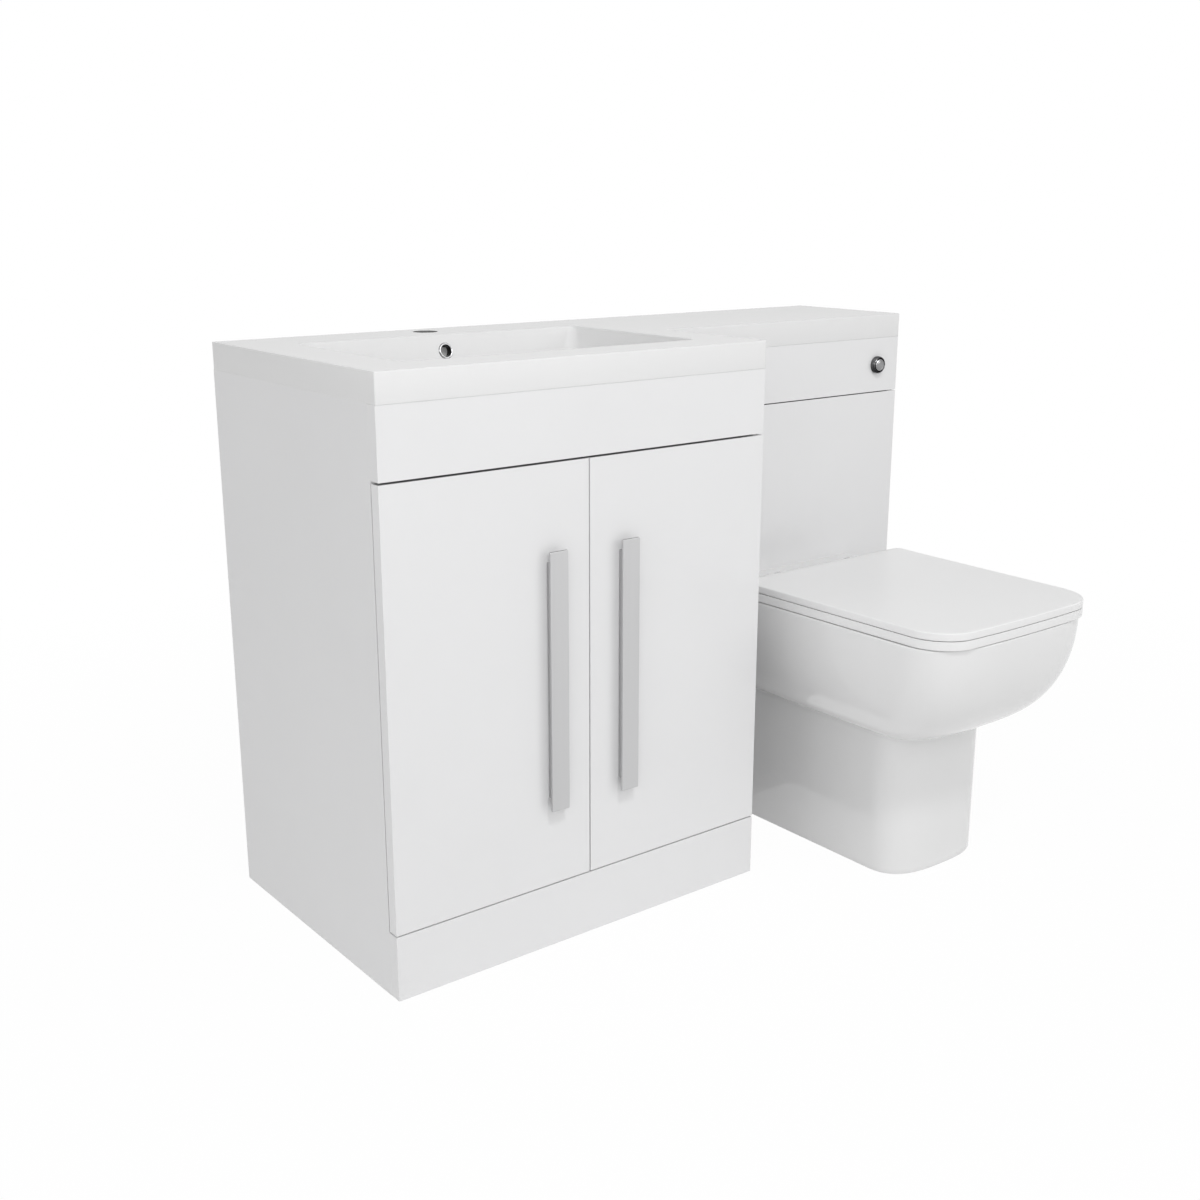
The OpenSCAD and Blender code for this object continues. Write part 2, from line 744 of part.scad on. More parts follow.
module wall_brackets() {
  color("silver") row() for (x = [[board_t, vanity_w - board_t], [vanity_w + board_t, total_w - board_t]])
    for (k = [0, 1]) translate([x[k], 0, wall_z - bracket[2] / 2]) mirror([k, 0, 0]) wall_bracket();
}

// ---- cistern ----

module cistern_tank() {
  color("gainsboro") row() difference() {
    translate([pan_x, cistern_mid_y, cistern_z]) linear_extrude(cistern_h)
      round_rect(cistern_w, cistern_d, cistern_r);
    translate([pan_x, cistern_mid_y, cistern_z + cistern_wall]) linear_extrude(cistern_h)
      round_rect(cistern_w - 2 * cistern_wall, cistern_d - 2 * cistern_wall, cistern_r - cistern_wall);
    translate([fill_x, cistern_mid_y, cistern_z - 1])
      cylinder(d = shank_d + 2 * run_fit, h = cistern_wall + 2);
    translate([pan_x, cistern_mid_y, cistern_z - 1])
      cylinder(d = valve_tail[0] + 2 * run_fit, h = cistern_wall + 2);
    at_tank_screws() translate([0, 1, 0]) along_y(tank_screw[0] + 2 * run_fit, cistern_wall + 2);
  }
}

module cistern_lid() {
  t = cistern_wall;
  gap = t + fit;
  color("gainsboro") row() difference() {
    translate([pan_x, cistern_mid_y, cistern_top_z]) union() {
      linear_extrude(t) round_rect(cistern_w, cistern_d, cistern_r);
      translate([0, 0, -lid_skirt]) linear_extrude(lid_skirt + eps) difference() {
        round_rect(cistern_w - 2 * gap, cistern_d - 2 * gap, cistern_r - gap);
        round_rect(cistern_w - 2 * gap - 5, cistern_d - 2 * gap - 5, cistern_r - gap - 2.5);
      }
    }
    translate([pan_x, cistern_mid_y, cistern_top_z - 1]) cylinder(d = cable_end[0] + 2, h = t + 2);
    at_tank_screws() translate([0, -2, 0]) along_y(tank_screw[2] + 4, 10);
  }
}

module cistern_screws() {
  color("silver") row() at_tank_screws() {
    translate([0, tank_screw[1] - cistern_wall - 1, 0]) along_y(tank_screw[0], tank_screw[1] - 1);
    translate([0, -cistern_wall, 0]) along_y(tank_screw[2], tank_screw[3]);
  }
}

float_stop = [36, 6];

module fill_valve() {
  floor_z = cistern_z + cistern_wall;
  color("white") row() translate([fill_x, cistern_mid_y, 0]) {
    difference() {
      union() {
        translate([0, 0, cistern_z - inlet_len]) cylinder(d = inlet_d, h = inlet_len);
        translate([0, 0, cistern_z - fill_nut_h]) cylinder(d = shank_d, h = fill_nut_h + cistern_wall + 1);
        translate([0, 0, floor_z]) cylinder(d = inlet_d + 14, h = 5);
        translate([0, 0, floor_z]) cylinder(d = fill_d, h = fill_cap_z - floor_z + 1);
        translate([0, 0, float_z - float_stop[1] - fit]) cylinder(d = float_stop[0], h = float_stop[1]);
        translate([0, 0, fill_cap_z]) grips(fill_cap[0], fill_cap[1]);
      }
      translate([0, 0, cistern_z - inlet_len - 1]) cylinder(d = inlet_d - 7, h = inlet_len + 30);
    }
  }
}

module fill_nut() {
  color("gray") row() translate([fill_x, cistern_mid_y, cistern_z - fill_nut_h])
    hex_nut(30, fill_nut_h, shank_d + 2 * run_fit);
}

module cistern_float() {
  color("tomato") row() translate([fill_x, cistern_mid_y, float_z]) difference() {
    union() {
      cylinder(d = float_size[0] - 6, h = float_size[1]);
      translate([0, 0, 3]) cylinder(d = float_size[0], h = float_size[1] - 6);
    }
    translate([0, 0, -1]) cylinder(d = fill_d + 4 * fit, h = float_size[1] + 2);
  }
}

seal_d = 50;
seal_t = 5;
valve_floor_z = cistern_z + cistern_wall;
seat_top_z = valve_floor_z + valve_base;
bridge_z = valve_floor_z + valve_h;
bridge = [6, 14]; // thickness and width of the bridge over the tower
rod_d = 3;

module flush_valve() {
  r = valve_d / 2 - 4;
  color("white") row() translate([pan_x, cistern_mid_y, 0]) difference() {
    union() {
      translate([0, 0, cistern_z - valve_tail[1]])
        cylinder(d = valve_tail[0], h = valve_tail[1] + cistern_wall + 1);
      translate([0, 0, valve_floor_z]) cylinder(d = valve_d + 6, h = 6);
      translate([0, 0, valve_floor_z]) cylinder(d = valve_d, h = valve_base);
      for (a = [45:90:359]) rotate([0, 0, a]) translate([r, 0, seat_top_z - 1])
        cylinder(d = 7, h = bridge_z - seat_top_z + 1);
      translate([0, 0, bridge_z - 16]) difference() {
        cylinder(d = valve_d, h = bridge[0]);
        translate([0, 0, -1]) cylinder(d = valve_d - 16, h = bridge[0] + 2);
      }
      for (a = [45, 135]) rotate([0, 0, a]) translate([-r, -bridge[1] / 2, bridge_z - bridge[0]])
        cube([2 * r, bridge[1], bridge[0]]);
    }
    translate([0, 0, cistern_z - valve_tail[1] - 1])
      cylinder(d = flush_d + 4 * fit, h = valve_tail[1] + cistern_wall + 8);
    translate([0, 0, valve_floor_z]) cylinder(d = seal_d - 10, h = valve_base + 1);
    for (a = [0:90:359]) rotate([0, 0, a]) translate([0, -9, valve_floor_z + 9])
      cube([valve_d, 18, valve_base - 15]);
    translate([0, 0, bridge_z - bridge[0] - 1]) cylinder(d = rod_d + 2 * run_fit, h = bridge[0] + 2);
  }
}

module flush_valve_nut() {
  color("gray") row() translate([pan_x, cistern_mid_y, cistern_z - 12])
    hex_nut(valve_tail[0] + 16, 12, valve_tail[0] + 2 * run_fit);
}

// overflow tube with the seal at its foot and the pull rod at its head
module valve_lift() {
  z = seat_top_z + fit;
  head_z = bridge_z - bridge[0] - button_travel - 6;
  color("royalblue") row() translate([pan_x, cistern_mid_y, 0]) {
    translate([0, 0, z]) cylinder(d = seal_d, h = seal_t);
    difference() {
      translate([0, 0, z + seal_t - eps]) cylinder(d = lift_d, h = head_z - z - seal_t);
      translate([0, 0, z + seal_t + 4]) cylinder(d = lift_d - 4, h = head_z - z);
    }
    translate([-lift_d / 2 + 1, -4, head_z - 8]) cube([lift_d - 2, 8, 6]);
    translate([0, 0, head_z - 3]) cylinder(d = rod_d, h = bridge_z - head_z + 5);
  }
}

cable_end = [8, 16]; // ferrule at either end of the cable
cable_d = 5;
cable_z = cistern_top_z + 22;
cable_lay = [
  [pan_x, cistern_mid_y, bridge_z + cable_end[1] - 1], [pan_x, cistern_mid_y, bridge_z + cable_end[1] + 14],
  [pan_x + 2, cistern_mid_y, cable_z - 14], [pan_x + 10, cistern_mid_y, cable_z - 4],
  [pan_x + 24, cistern_mid_y - 1, cable_z], [pan_x + 60, cistern_mid_y - 6, cable_z],
  [pan_x + 110, cistern_mid_y - 18, cable_z], [button_x - 50, cistern_mid_y - 22, cable_z],
  [button_x - 24, cistern_mid_y - 20, cable_z - 3], [button_x - 8, cistern_mid_y - 26, cable_z - 14],
  [button_x, cistern_mid_y - 40, button_z + 4], [button_x, cistern_mid_y - 56, button_z],
  [button_x, button_end_y + cable_end[1] - 1, button_z]
];

function unit(v) = v / norm(v);

// round tube swept along points, drawn as sides-sided rings
function sweep_rings(path, r, sides) = [for (i = [0:len(path) - 1])
  let (d = unit(path[min(i + 1, len(path) - 1)] - path[max(i - 1, 0)]),
       u = unit(cross(d, abs(d[2]) > 0.8 ? [0, 1, 0] : [0, 0, 1])), v = cross(d, u))
  [for (k = [0:sides - 1]) path[i] + r * (cos(360 * k / sides) * u + sin(360 * k / sides) * v)]];

module flush_cable() {
  color("dimgray") row() {
    loft(sweep_rings(cable_lay, cable_d / 2, 8));
    translate([pan_x, cistern_mid_y, bridge_z]) difference() {
      cylinder(d = cable_end[0], h = cable_end[1]);
      translate([0, 0, -1]) cylinder(d = rod_d + 1, h = cable_end[1] - 2);
    }
    translate([button_x, button_end_y + cable_end[1], button_z]) along_y(cable_end[0], cable_end[1]);
  }
}

// flush pipe: down from the tank, a quarter turn, then forwards into the pan
module flush_form(d, extra) {
  foot_z = flush_z + flush_bend;
  bend_y = cistern_mid_y - flush_bend;
  top = cistern_z - 12 + extra;
  end_y = pan_back_y - seal_len + 6 - extra;
  translate([pan_x, cistern_mid_y, foot_z]) cylinder(d = d, h = top - foot_z);
  translate([pan_x, bend_y, foot_z]) rotate([-90, 0, 90]) rotate_extrude(angle = 90)
    translate([flush_bend, 0]) circle(d = d);
  translate([pan_x, bend_y, flush_z]) along_y(d, bend_y - end_y);
}

module flush_pipe() {
  collar_h = 10;
  color("white") row() difference() {
    union() {
      flush_form(flush_d, 0);
      translate([pan_x, cistern_mid_y, cistern_z - valve_tail[1] - collar_h])
        cylinder(d = valve_tail[0] + 4, h = collar_h);
    }
    flush_form(flush_d - 2 * flush_wall, 1);
  }
}

seal_bore_d = flush_d + 11;

module flush_seal() {
  color("dimgray") row() translate([pan_x, pan_back_y, flush_z]) rotate([90, 0, 0]) {
    tube(seal_bore_d - 2 * run_fit, seal_len - 2, (seal_bore_d - flush_d) / 2 - 2 * run_fit);
    translate([0, 0, -4]) tube(flush_hole_d - 2, 4, (flush_hole_d - 2 - flush_d) / 2 - run_fit);
  }
}

// ---- push button ----

module at_button() { row() translate([button_x, wc_front_y, button_z]) children(); }

module button_bezel() {
  color("silver") at_button() difference() {
    union() {
      along_y(bezel_d, bezel_out - 2);
      translate([0, -bezel_out + 2 + eps, 0]) rotate([90, 0, 0])
        cylinder(d1 = bezel_d, d2 = bezel_d - 3, h = 2);
      translate([0, barrel_len, 0]) along_y(barrel_d, barrel_len + 1);
    }
    translate([0, barrel_len + 1, 0]) along_y(button_d + 2 * run_fit, barrel_len + bezel_out + 2);
  }
  color("white") at_button() difference() {
    translate([0, barrel_len + 6, 0]) along_y(barrel_d, 6);
    translate([0, barrel_len + 7, 0]) along_y(4, 8);
  }
}

module flush_button() {
  y0 = -button_out;
  color("silver") at_button() {
    translate([0, y0 + 1.5, 0]) rotate([90, 0, 0]) cylinder(d1 = button_d, d2 = button_d - 3, h = 1.5);
    translate([0, y0 + 1.5 + button_len, 0]) along_y(button_d, button_len + eps);
  }
}

module button_nut() {
  color("gray") at_button() translate([0, front_t + 8, 0]) rotate([90, 0, 0])
    hex_nut(barrel_d + 9, 8, barrel_d + 2 * run_fit);
}

// ---- toilet ----

function mix(a, b, t) = a + (b - a) * t;

// a point of the pan, from the offset to the side and the distance from the cabinet
function pan_point(x, u, z) = [pan_x + x, pan_back_y - u, z];

// section of the pan at height z: flat at the back, straight sides, squared curve at the front
function pan_ring(z, back, side, reach, r, power) =
  let (half = concat([[back, 0], [mix(back, side, 0.7), 70], [side, 150]],
    [for (k = [0:ring_steps]) let (t = 90 * k / ring_steps)
      [side * pow(cos(t), 2 / power), reach - r + r * pow(sin(t), 2 / power)]]), n = len(half))
  concat([for (p = half) pan_point(-p[0], p[1], z)],
    [for (k = [n - 2:-1:0]) pan_point(half[k][0], half[k][1], z)]);

// share of the way from foot to rim that the bowl has swelled at t of its height
function bulge(t) = pow(1 - pow(1 - t, bulge_power), 1 / bulge_power);

// the foot goes straight up to the crease, and the bowl swells from there to the rim
pan_rings = [for (k = [-1:bowl_levels])
  let (t = k < 1 ? 0 : 1 - cos(90 * k / bowl_levels), b = bulge(t))
  pan_ring(k < 0 ? 0 : mix(crease_z, rim_h, t), mix(foot_w, deck_w, b) / 2, mix(foot_w, pan_w, b) / 2,
    mix(foot_l, pan_l, b), mix(foot_r, pan_r, b), mix(foot_power, rim_power, b))];

function oval(z, u, w, l, power, n) = [for (k = [0:n - 1]) let (a = 360 * k / n, c = cos(a), s = sin(a))
  pan_point(sign(c) * w / 2 * pow(abs(c), 2 / power), u - sign(s) * l / 2 * pow(abs(s), 2 / power), z)];

// inside of the bowl between two heights, or its outside when grown by the ceramic's thickness
well_levels = 9;
well_power = 0.85;
well_u = hinge_y + well[2] + well[1] / 2;
function well_rings(grow, low, high) = [for (k = [0:well_levels])
  let (z = mix(low, high, k / well_levels),
    f = pow(max(0, z - sump[2]) / (rim_h + 0.5 - sump[2]), well_power))
  oval(z, mix(sump_u, well_u, f), mix(sump[0], well[0], f) + 2 * grow,
    mix(sump[1], well[1], f) + 2 * grow, 2.5, 36)];

// trapway of the pan: from the sump up over the weir and down to the outlet, as distance and height
trap_run = [
  [sump_u, 178], [200, 202], [168, 214], [138, 213], [112, 203], [88, 188], [66, soil_z], [20, soil_z]
];
trapway = [for (p = trap_run) pan_point(0, p[0], p[1])];

module trapway_form(grow, outlet_d) {
  loft(sweep_rings(trapway, trap_bore_d / 2 + grow, 20));
  translate(pan_point(0, 44, soil_z)) rotate([-90, 0, 0]) cylinder(d = outlet_d, h = 44 + spigot_out);
}

pan_in_w = foot_w - 2 * ceramic_t;
hollow_r = 0.7 * foot_r;

module pan() {
  color("white") row() difference() {
    union() {
      difference() {
        loft(pan_rings);
        translate(pan_point(0, (foot_l - ceramic_t - hollow_r) / 2, -1))
          linear_extrude(crease_z - ceramic_t)
            round_rect(pan_in_w, foot_l - ceramic_t + hollow_r, hollow_r);
      }
      trapway_form(ceramic_t, spigot_d);
      loft(well_rings(ceramic_t, sump[2] - ceramic_t, crease_z - 5));
    }
    loft(well_rings(0, sump[2], rim_h + 0.5));
    trapway_form(0, spigot_d - 2 * spigot_wall);
    translate(pan_point(0, -1, flush_z)) rotate([90, 0, 0]) cylinder(d = seal_bore_d, h = seal_len + 7);
    translate(pan_point(0, 0, flush_z)) rotate([90, 0, 0])
      cylinder(d = flush_d - 8, h = hinge_y + well[2] + 24);
    for (x = [-1, 1] * hinge_span / 2) translate(pan_point(x, hinge_y, rim_h - seat_bolt[1] - 2))
      cylinder(d = seat_bolt_d, h = seat_bolt[1] + 4);
    translate(pan_point(0, pan_bracket_u, pan_screw_z)) along_x(pan_screw[0] + 2 * run_fit, foot_w + 2);
  }
}

module soil_connector() {
  sleeve = 34;
  wall = 3;
  color("white") row() translate([pan_x, 0, soil_z]) difference() {
    union() {
      along_y(soil_d, -pan_back_y - spigot_out - 4);
      translate([0, pan_back_y + sleeve + 2, 0]) along_y(soil_d + 10, sleeve);
      translate([0, -60, 0]) along_y(soil_d + 6, 8);
    }
    translate([0, 1, 0]) along_y(soil_d - 2 * wall - 4, wc_d);
    translate([0, pan_back_y + spigot_out + 1, 0]) along_y(spigot_d + 2 * run_fit, 60);
  }
}

module at_pan_brackets() {
  row() for (k = [0, 1]) translate([pan_x, pan_back_y - pan_bracket_u, 0]) mirror([k, 0, 0])
    translate([pan_in_w / 2, 0, 0]) children();
}

module pan_brackets() {
  w = pan_bracket[3];
  color("dimgray") at_pan_brackets() difference() {
    union() {
      translate([-pan_bracket[1], -w / 2, 0]) cube([pan_bracket[1], w, pan_bracket[2]]);
      translate([-pan_bracket[0], -w / 2, 0]) cube([pan_bracket[0], w, pan_bracket[1]]);
    }
    translate([-pan_hole[1], 0, -1]) cylinder(d = pan_hole[0], h = pan_bracket[1] + 2);
    translate([0, 0, pan_screw_z]) along_x(pan_screw[0] + 2 * run_fit, 3 * pan_bracket[1]);
  }
}

module pan_screws() {
  color("silver") at_pan_brackets() translate([ceramic_t, 0, pan_screw_z]) rotate([0, 90, 0]) {
    translate([0, 0, -pan_screw[1]]) cylinder(d = pan_screw[0], h = pan_screw[1] + 1);
    cylinder(d1 = pan_screw[2], d2 = pan_screw[2] * 2 / 3, h = pan_screw[3]);
  }
}

// outline of seat and lid moved in by i: arcs at the corners, and a slight bow along the front
function lid_arc(x, u, r, a0, i) =
  [for (k = [0:6]) let (a = a0 - 15 * k) [x + (r - i) * cos(a), u + (r - i) * sin(a)]];

function lid_ring(z, i) =
  let (a = lid_w / 2, b = corner_r[0], f = corner_r[1], l = lid_l - lid_bow,
    raw = concat(lid_arc(b - a, b, b, 270, i), lid_arc(f - a, l - f, f, 180, i),
      [for (x = [-0.5, 0, 0.5]) [x * a, l - i]],
      lid_arc(a - f, l - f, f, 90, i), lid_arc(a - b, b, b, 0, i)))
  [for (p = raw) let (share = p[1] / l)
    [pan_x + p[0] * (1 - lid_taper / a * share),
     lid_back_y - p[1] - (p[1] > l / 2 ? lid_bow * (1 - pow(p[0] / a, 2)) * share : 0), z]];

// plate with softened edges, as heights and insets from the outline
module soft_plate(z, t, edge) {
  loft([for (e = edge) lid_ring(z + e[0] * t, e[1])]);
}

module hinge_ear(x, z, t) {
  hull() {
    translate([x, hinge_axis_y, hinge_z]) along_x(ear[1], ear[0]);
    translate([x - ear[0] / 2, lid_back_y - ear_root, z + 1]) cube([ear[0], ear_root, t - 2]);
  }
}

module pin_bore(x) {
  translate([x, hinge_axis_y, hinge_z]) along_x(hinge_pin_d + 2 * run_fit, ear[0] + 2);
}

seat_ear_x = hinge_span / 2 + post[0] / 2 + ear_gap + ear[0] / 2;
lid_ear_x = hinge_span / 2 - post[0] / 2 - ear_gap - ear[0] / 2;

module seat() {
  color("white") row() difference() {
    union() {
      soft_plate(seat_z, seat_t, [[0, 3], [0.18, 0.8], [0.4, 0], [0.85, 0], [1, 1.2]]);
      for (x = [-1, 1] * seat_ear_x) hinge_ear(pan_x + x, seat_z, seat_t);
    }
    loft([for (z = [seat_z - 1, seat_z + seat_t + 1])
      oval(z, seat_hole_u, seat_hole[0], seat_hole[1], 2.4, 40)]);
    for (x = [-1, 1] * seat_ear_x) pin_bore(pan_x + x);
  }
}

module lid() {
  color("white") row() difference() {
    union() {
      soft_plate(lid_z, lid_t, [[0, 2.5], [0.15, 0.6], [0.4, 0], [0.75, 0.4], [0.93, 1.8], [1, 4.2]]);
      for (x = [-1, 1] * lid_ear_x) hinge_ear(pan_x + x, lid_z, lid_t);
    }
    for (x = [-1, 1] * lid_ear_x) pin_bore(pan_x + x);
  }
}

module hinge_posts() {
  pin_len = post[0] + 2 * ear_gap + 2 * ear[0];
  color("silver") row() for (x = [-1, 1] * hinge_span / 2) translate(pan_point(x, hinge_y, rim_h)) {
    cylinder(d = post[2], h = post[3]);
    translate([-post[0] / 2, -post[1] / 2, 0]) cube([post[0], post[1], hinge_z - rim_h]);
    translate([0, 0, hinge_z - rim_h]) along_x(post[1], post[0]);
    translate([0, 0, hinge_z - rim_h]) along_x(hinge_pin_d, pin_len);
    translate([0, 0, -seat_bolt[1]]) cylinder(d = seat_bolt[0], h = seat_bolt[1] + 1);
  }
}

module hinge_plugs() {
  color("dimgray") row() for (x = [-1, 1] * hinge_span / 2)
    translate(pan_point(x, hinge_y, rim_h - seat_plug_len - 1))
      tube(seat_bolt_d - 2 * run_fit, seat_plug_len, (seat_bolt_d - seat_bolt[0]) / 2 - 2 * run_fit);
}

buffer_us = [64, lid_l - 62];

module pads(z, t, in, us) {
  row() for (x = [-1, 1], u = us) translate([pan_x + x * (lid_w / 2 - in), lid_back_y - u, z])
    round_pad(t);
}

module round_pad(t) { linear_extrude(t) round_rect(12, 26, 5.9); }

module seat_buffers() { color("gainsboro") pads(seat_z - seat_gap + fit, seat_gap - fit, 30, buffer_us); }

module lid_buffers() { color("gainsboro") pads(lid_z - lid_gap + fit, lid_gap - fit, 30, buffer_us); }

vanity_left_side();
vanity_right_side();
vanity_base();
vanity_rear_top_rail();
vanity_rear_bottom_rail();
vanity_front_rail();
vanity_fascia();
vanity_plinth();
shelf();
shelf_pins();
door_buffers();
left_door();
right_door();
left_handle();
right_handle();
handle_screws_left();
handle_screws_right();
hinge_cups_left();
hinge_cups_right();
hinge_arms();
basin_top();
overflow_ring();
basin_waste();
waste_plug();
waste_nut();
bottle_trap();
trap_pipe();
wc_left_side();
wc_right_side();
wc_rear_rail();
wc_front_rail();
wc_floor_rail();
wc_fascia();
wc_front_panel();
wall_brackets();
cistern_tank();
cistern_lid();
cistern_screws();
fill_valve();
fill_nut();
cistern_float();
flush_valve();
flush_valve_nut();
valve_lift();
flush_pipe();
flush_seal();
button_bezel();
flush_button();
button_nut();
flush_cable();
pan();
soil_connector();
pan_brackets();
pan_screws();
seat();
lid();
hinge_posts();
hinge_plugs();
seat_buffers();
lid_buffers();
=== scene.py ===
import json
import math

import bpy
import bmesh
import numpy as np
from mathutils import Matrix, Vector
from mathutils.geometry import tessellate_polygon


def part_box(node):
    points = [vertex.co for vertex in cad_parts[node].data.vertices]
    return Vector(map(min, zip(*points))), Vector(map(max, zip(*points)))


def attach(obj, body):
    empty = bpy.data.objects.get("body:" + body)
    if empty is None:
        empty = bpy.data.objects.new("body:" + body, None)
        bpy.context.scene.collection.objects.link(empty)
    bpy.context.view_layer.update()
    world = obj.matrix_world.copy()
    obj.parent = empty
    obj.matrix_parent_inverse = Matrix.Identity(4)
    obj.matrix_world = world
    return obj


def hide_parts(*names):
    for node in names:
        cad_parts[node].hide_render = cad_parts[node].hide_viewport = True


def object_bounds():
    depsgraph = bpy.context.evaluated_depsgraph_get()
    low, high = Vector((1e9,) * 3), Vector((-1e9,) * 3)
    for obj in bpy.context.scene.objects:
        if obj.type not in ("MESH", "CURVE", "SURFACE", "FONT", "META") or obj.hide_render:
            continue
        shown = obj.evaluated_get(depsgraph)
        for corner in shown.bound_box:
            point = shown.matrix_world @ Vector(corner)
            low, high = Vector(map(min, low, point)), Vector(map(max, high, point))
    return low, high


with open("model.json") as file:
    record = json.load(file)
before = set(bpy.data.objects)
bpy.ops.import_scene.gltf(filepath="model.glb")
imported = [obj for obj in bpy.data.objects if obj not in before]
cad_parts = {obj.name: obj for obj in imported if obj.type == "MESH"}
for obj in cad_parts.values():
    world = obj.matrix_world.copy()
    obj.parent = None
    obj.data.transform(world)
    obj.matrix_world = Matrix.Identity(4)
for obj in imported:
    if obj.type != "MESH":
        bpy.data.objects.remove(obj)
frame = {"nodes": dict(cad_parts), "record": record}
scene = bpy.context.scene
cadBox = [list(corner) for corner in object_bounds()]
nodes = frame["nodes"]
bodyOf = {n: b for b, members in frame["record"]["behaviour"]["bodies"].items() for n in members}
slotOf = {s["node"]: s["material_slot"] for s in frame["record"]["subparts"]}
print("frame loaded with", len(nodes), "solids")

# measuring and mesh helpers: lengths are in millimetres, and places are measured from the point where the
# floor meets the wall at the object's left end
weldWithin = 0.004  # points of a piece that are this close become one
slimWithin = 0.0001  # edges shorter than this are dissolved
wallCorner = np.array([cadBox[0][0], cadBox[1][1], 0.0]) * 1000


def toFrame(points):
    # millimetres from the wall corner into metres from the frame's origin
    return (np.asarray(points, float) + wallCorner) / 1000


def fromFrame(corner):
    return np.array(corner) * 1000 - wallCorner


def nodeBox(node):
    low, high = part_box(node)
    return fromFrame(low), fromFrame(high)


def ringPatch(rings, flip=False, closed=True):
    # four-sided faces between neighbouring rings, given as ring, point on the ring, coordinate
    count, around, _ = rings.shape
    i = np.arange(around if closed else around - 1)
    a = np.arange(count - 1)[:, None] * around + i
    b = np.arange(count - 1)[:, None] * around + (i + 1) % around
    quads = np.stack([a, b, b + around, a + around], -1).reshape(-1, 4)
    return rings.reshape(-1, 3), quads[:, ::-1] if flip else quads


def fanPatch(ring, middle):
    # triangles from each edge of a ring to a middle point
    around = len(ring)
    i = np.arange(around)
    tris = np.stack([i, (i + 1) % around, np.full(around, around)], 1)
    return np.vstack([ring, middle]), tris


def holedPatch(loops, normal):
    # a flat face inside the first loop and outside the others, turned to face the normal
    points = np.vstack(loops)
    tris = np.array(tessellate_polygon([[Vector(p) for p in loop] for loop in loops]))
    sides = points[tris]
    facing = np.cross(sides[:, 1] - sides[:, 0], sides[:, 2] - sides[:, 0]) @ np.asarray(normal, float)
    tris[facing < 0] = tris[facing < 0][:, ::-1]
    return points, tris


# for a board square to an axis, which of outline a, outline b and height becomes x, y and z
axisOrder = {"x": [2, 0, 1], "y": [0, 2, 1], "z": [0, 1, 2]}


def turned(rings, axis):
    # outline and height to x, y and z; along y the turn mirrors, so faces there are flipped
    return rings[..., axisOrder[axis]]


def withHeight(flat, heights):
    # flat rings of two coordinates get one height each
    heights = np.broadcast_to(np.asarray(heights, float)[:, None, None], flat.shape[:2] + (1,))
    return np.concatenate([flat, heights], -1)


def cornerRings(corners, radius, insets, steps=4):
    # outline of right angles with round corners, moved in by each inset: a corner's points are its centre
    # plus the radius, less the inset at an outer corner, times a direction that turns by 90 degrees
    p = np.array(corners, float)
    ahead = np.roll(p, -1, 0) - p
    ahead /= np.linalg.norm(ahead, axis=1)[:, None]
    behind = np.roll(ahead, 1, 0)
    side0 = np.stack([-behind[:, 1], behind[:, 0]], 1)
    side1 = np.stack([-ahead[:, 1], ahead[:, 0]], 1)
    turn = np.sign(behind[:, 0] * ahead[:, 1] - behind[:, 1] * ahead[:, 0])[:, None]
    r = np.broadcast_to(np.asarray(radius, float), len(p))[:, None]
    centre = p + turn * r * (side0 + side1)
    phi = np.linspace(0, math.pi / 2, steps + 1)[:, None]
    swing = side0[:, None] * np.cos(phi) + side1[:, None] * np.sin(phi)
    inset = np.asarray(insets, float)[:, None, None, None]
    out = centre[:, None] - turn[:, None] * (r[:, None] - turn[:, None] * inset) * swing
    return out.reshape(len(insets), -1, 2)


def circleRing(a, b, radius, steps=48):
    t = np.linspace(0, 2 * math.pi, steps, endpoint=False)
    return np.stack([a + radius * np.cos(t), b + radius * np.sin(t)], 1)


def circleRings(a, b, run):
    # circles about one point, from rows of radius and height
    return withHeight(np.stack([circleRing(a, b, radius) for radius, _ in run]), [high for _, high in run])


def quarter(radius, steps):
    # points of a quarter circle: how far they have still to go in one direction, and how far they have come
    # in the other
    q = np.linspace(0, math.pi / 2, steps)
    return radius * (1 - np.sin(q)), radius * (1 - np.cos(q))


def edgeRun(low, high, edge, hold=0.5):
    # insets and heights of a section whose two ends are quarter circles, held flat beside them
    across, along = quarter(edge, 4)
    inset = np.concatenate([[edge + hold], across, [0]])
    rise = np.concatenate([[0], along, [edge + hold]])
    return np.concatenate([inset, inset[::-1]]), np.concatenate([low + rise, (high - rise)[::-1]])


def slab(corners, low, high, axis, edge, holes=()):
    # a board from its outline, whose corners are rounder than its edges; holes are (a, b, radius, depth),
    # and one with a depth is sunk into the high end
    rounder, flip = 0.7, axis == "y"
    insets, heights = edgeRun(low, high, edge)
    rings = withHeight(cornerRings(corners, edge + rounder, insets), heights)
    patches = [ringPatch(turned(rings, axis), flip)]
    up = turned(np.array([0, 0, 1.0]), axis)
    lowLoops, highLoops = [rings[0]], [rings[-1]]
    for a, b, radius, depth in holes:
        tube = circleRings(a, b, [(radius, high - depth if depth else low), (radius, high)])
        patches.append(ringPatch(turned(tube, axis), not flip))
        highLoops.append(tube[1])
        if depth:
            patches.append(holedPatch([turned(tube[0], axis)], up))
        else:
            lowLoops.append(tube[0])
    for loops, normal in ((lowLoops, -up), (highLoops, up)):
        patches.append(holedPatch([turned(loop, axis) for loop in loops], normal))
    return patches


def boxOutline(a0, b0, a1, b1):
    return [(a0, b0), (a1, b0), (a1, b1), (a0, b1)]


def bend(start, corner, end, t):
    # a curve that leaves its start towards the corner and reaches its end from there
    return (1 - t) ** 2 * start + 2 * t * (1 - t) * corner + t ** 2 * end


def eased(share):
    return share * share * (3 - 2 * share)


def mixed(a, b, t):
    return a + (b - a) * t


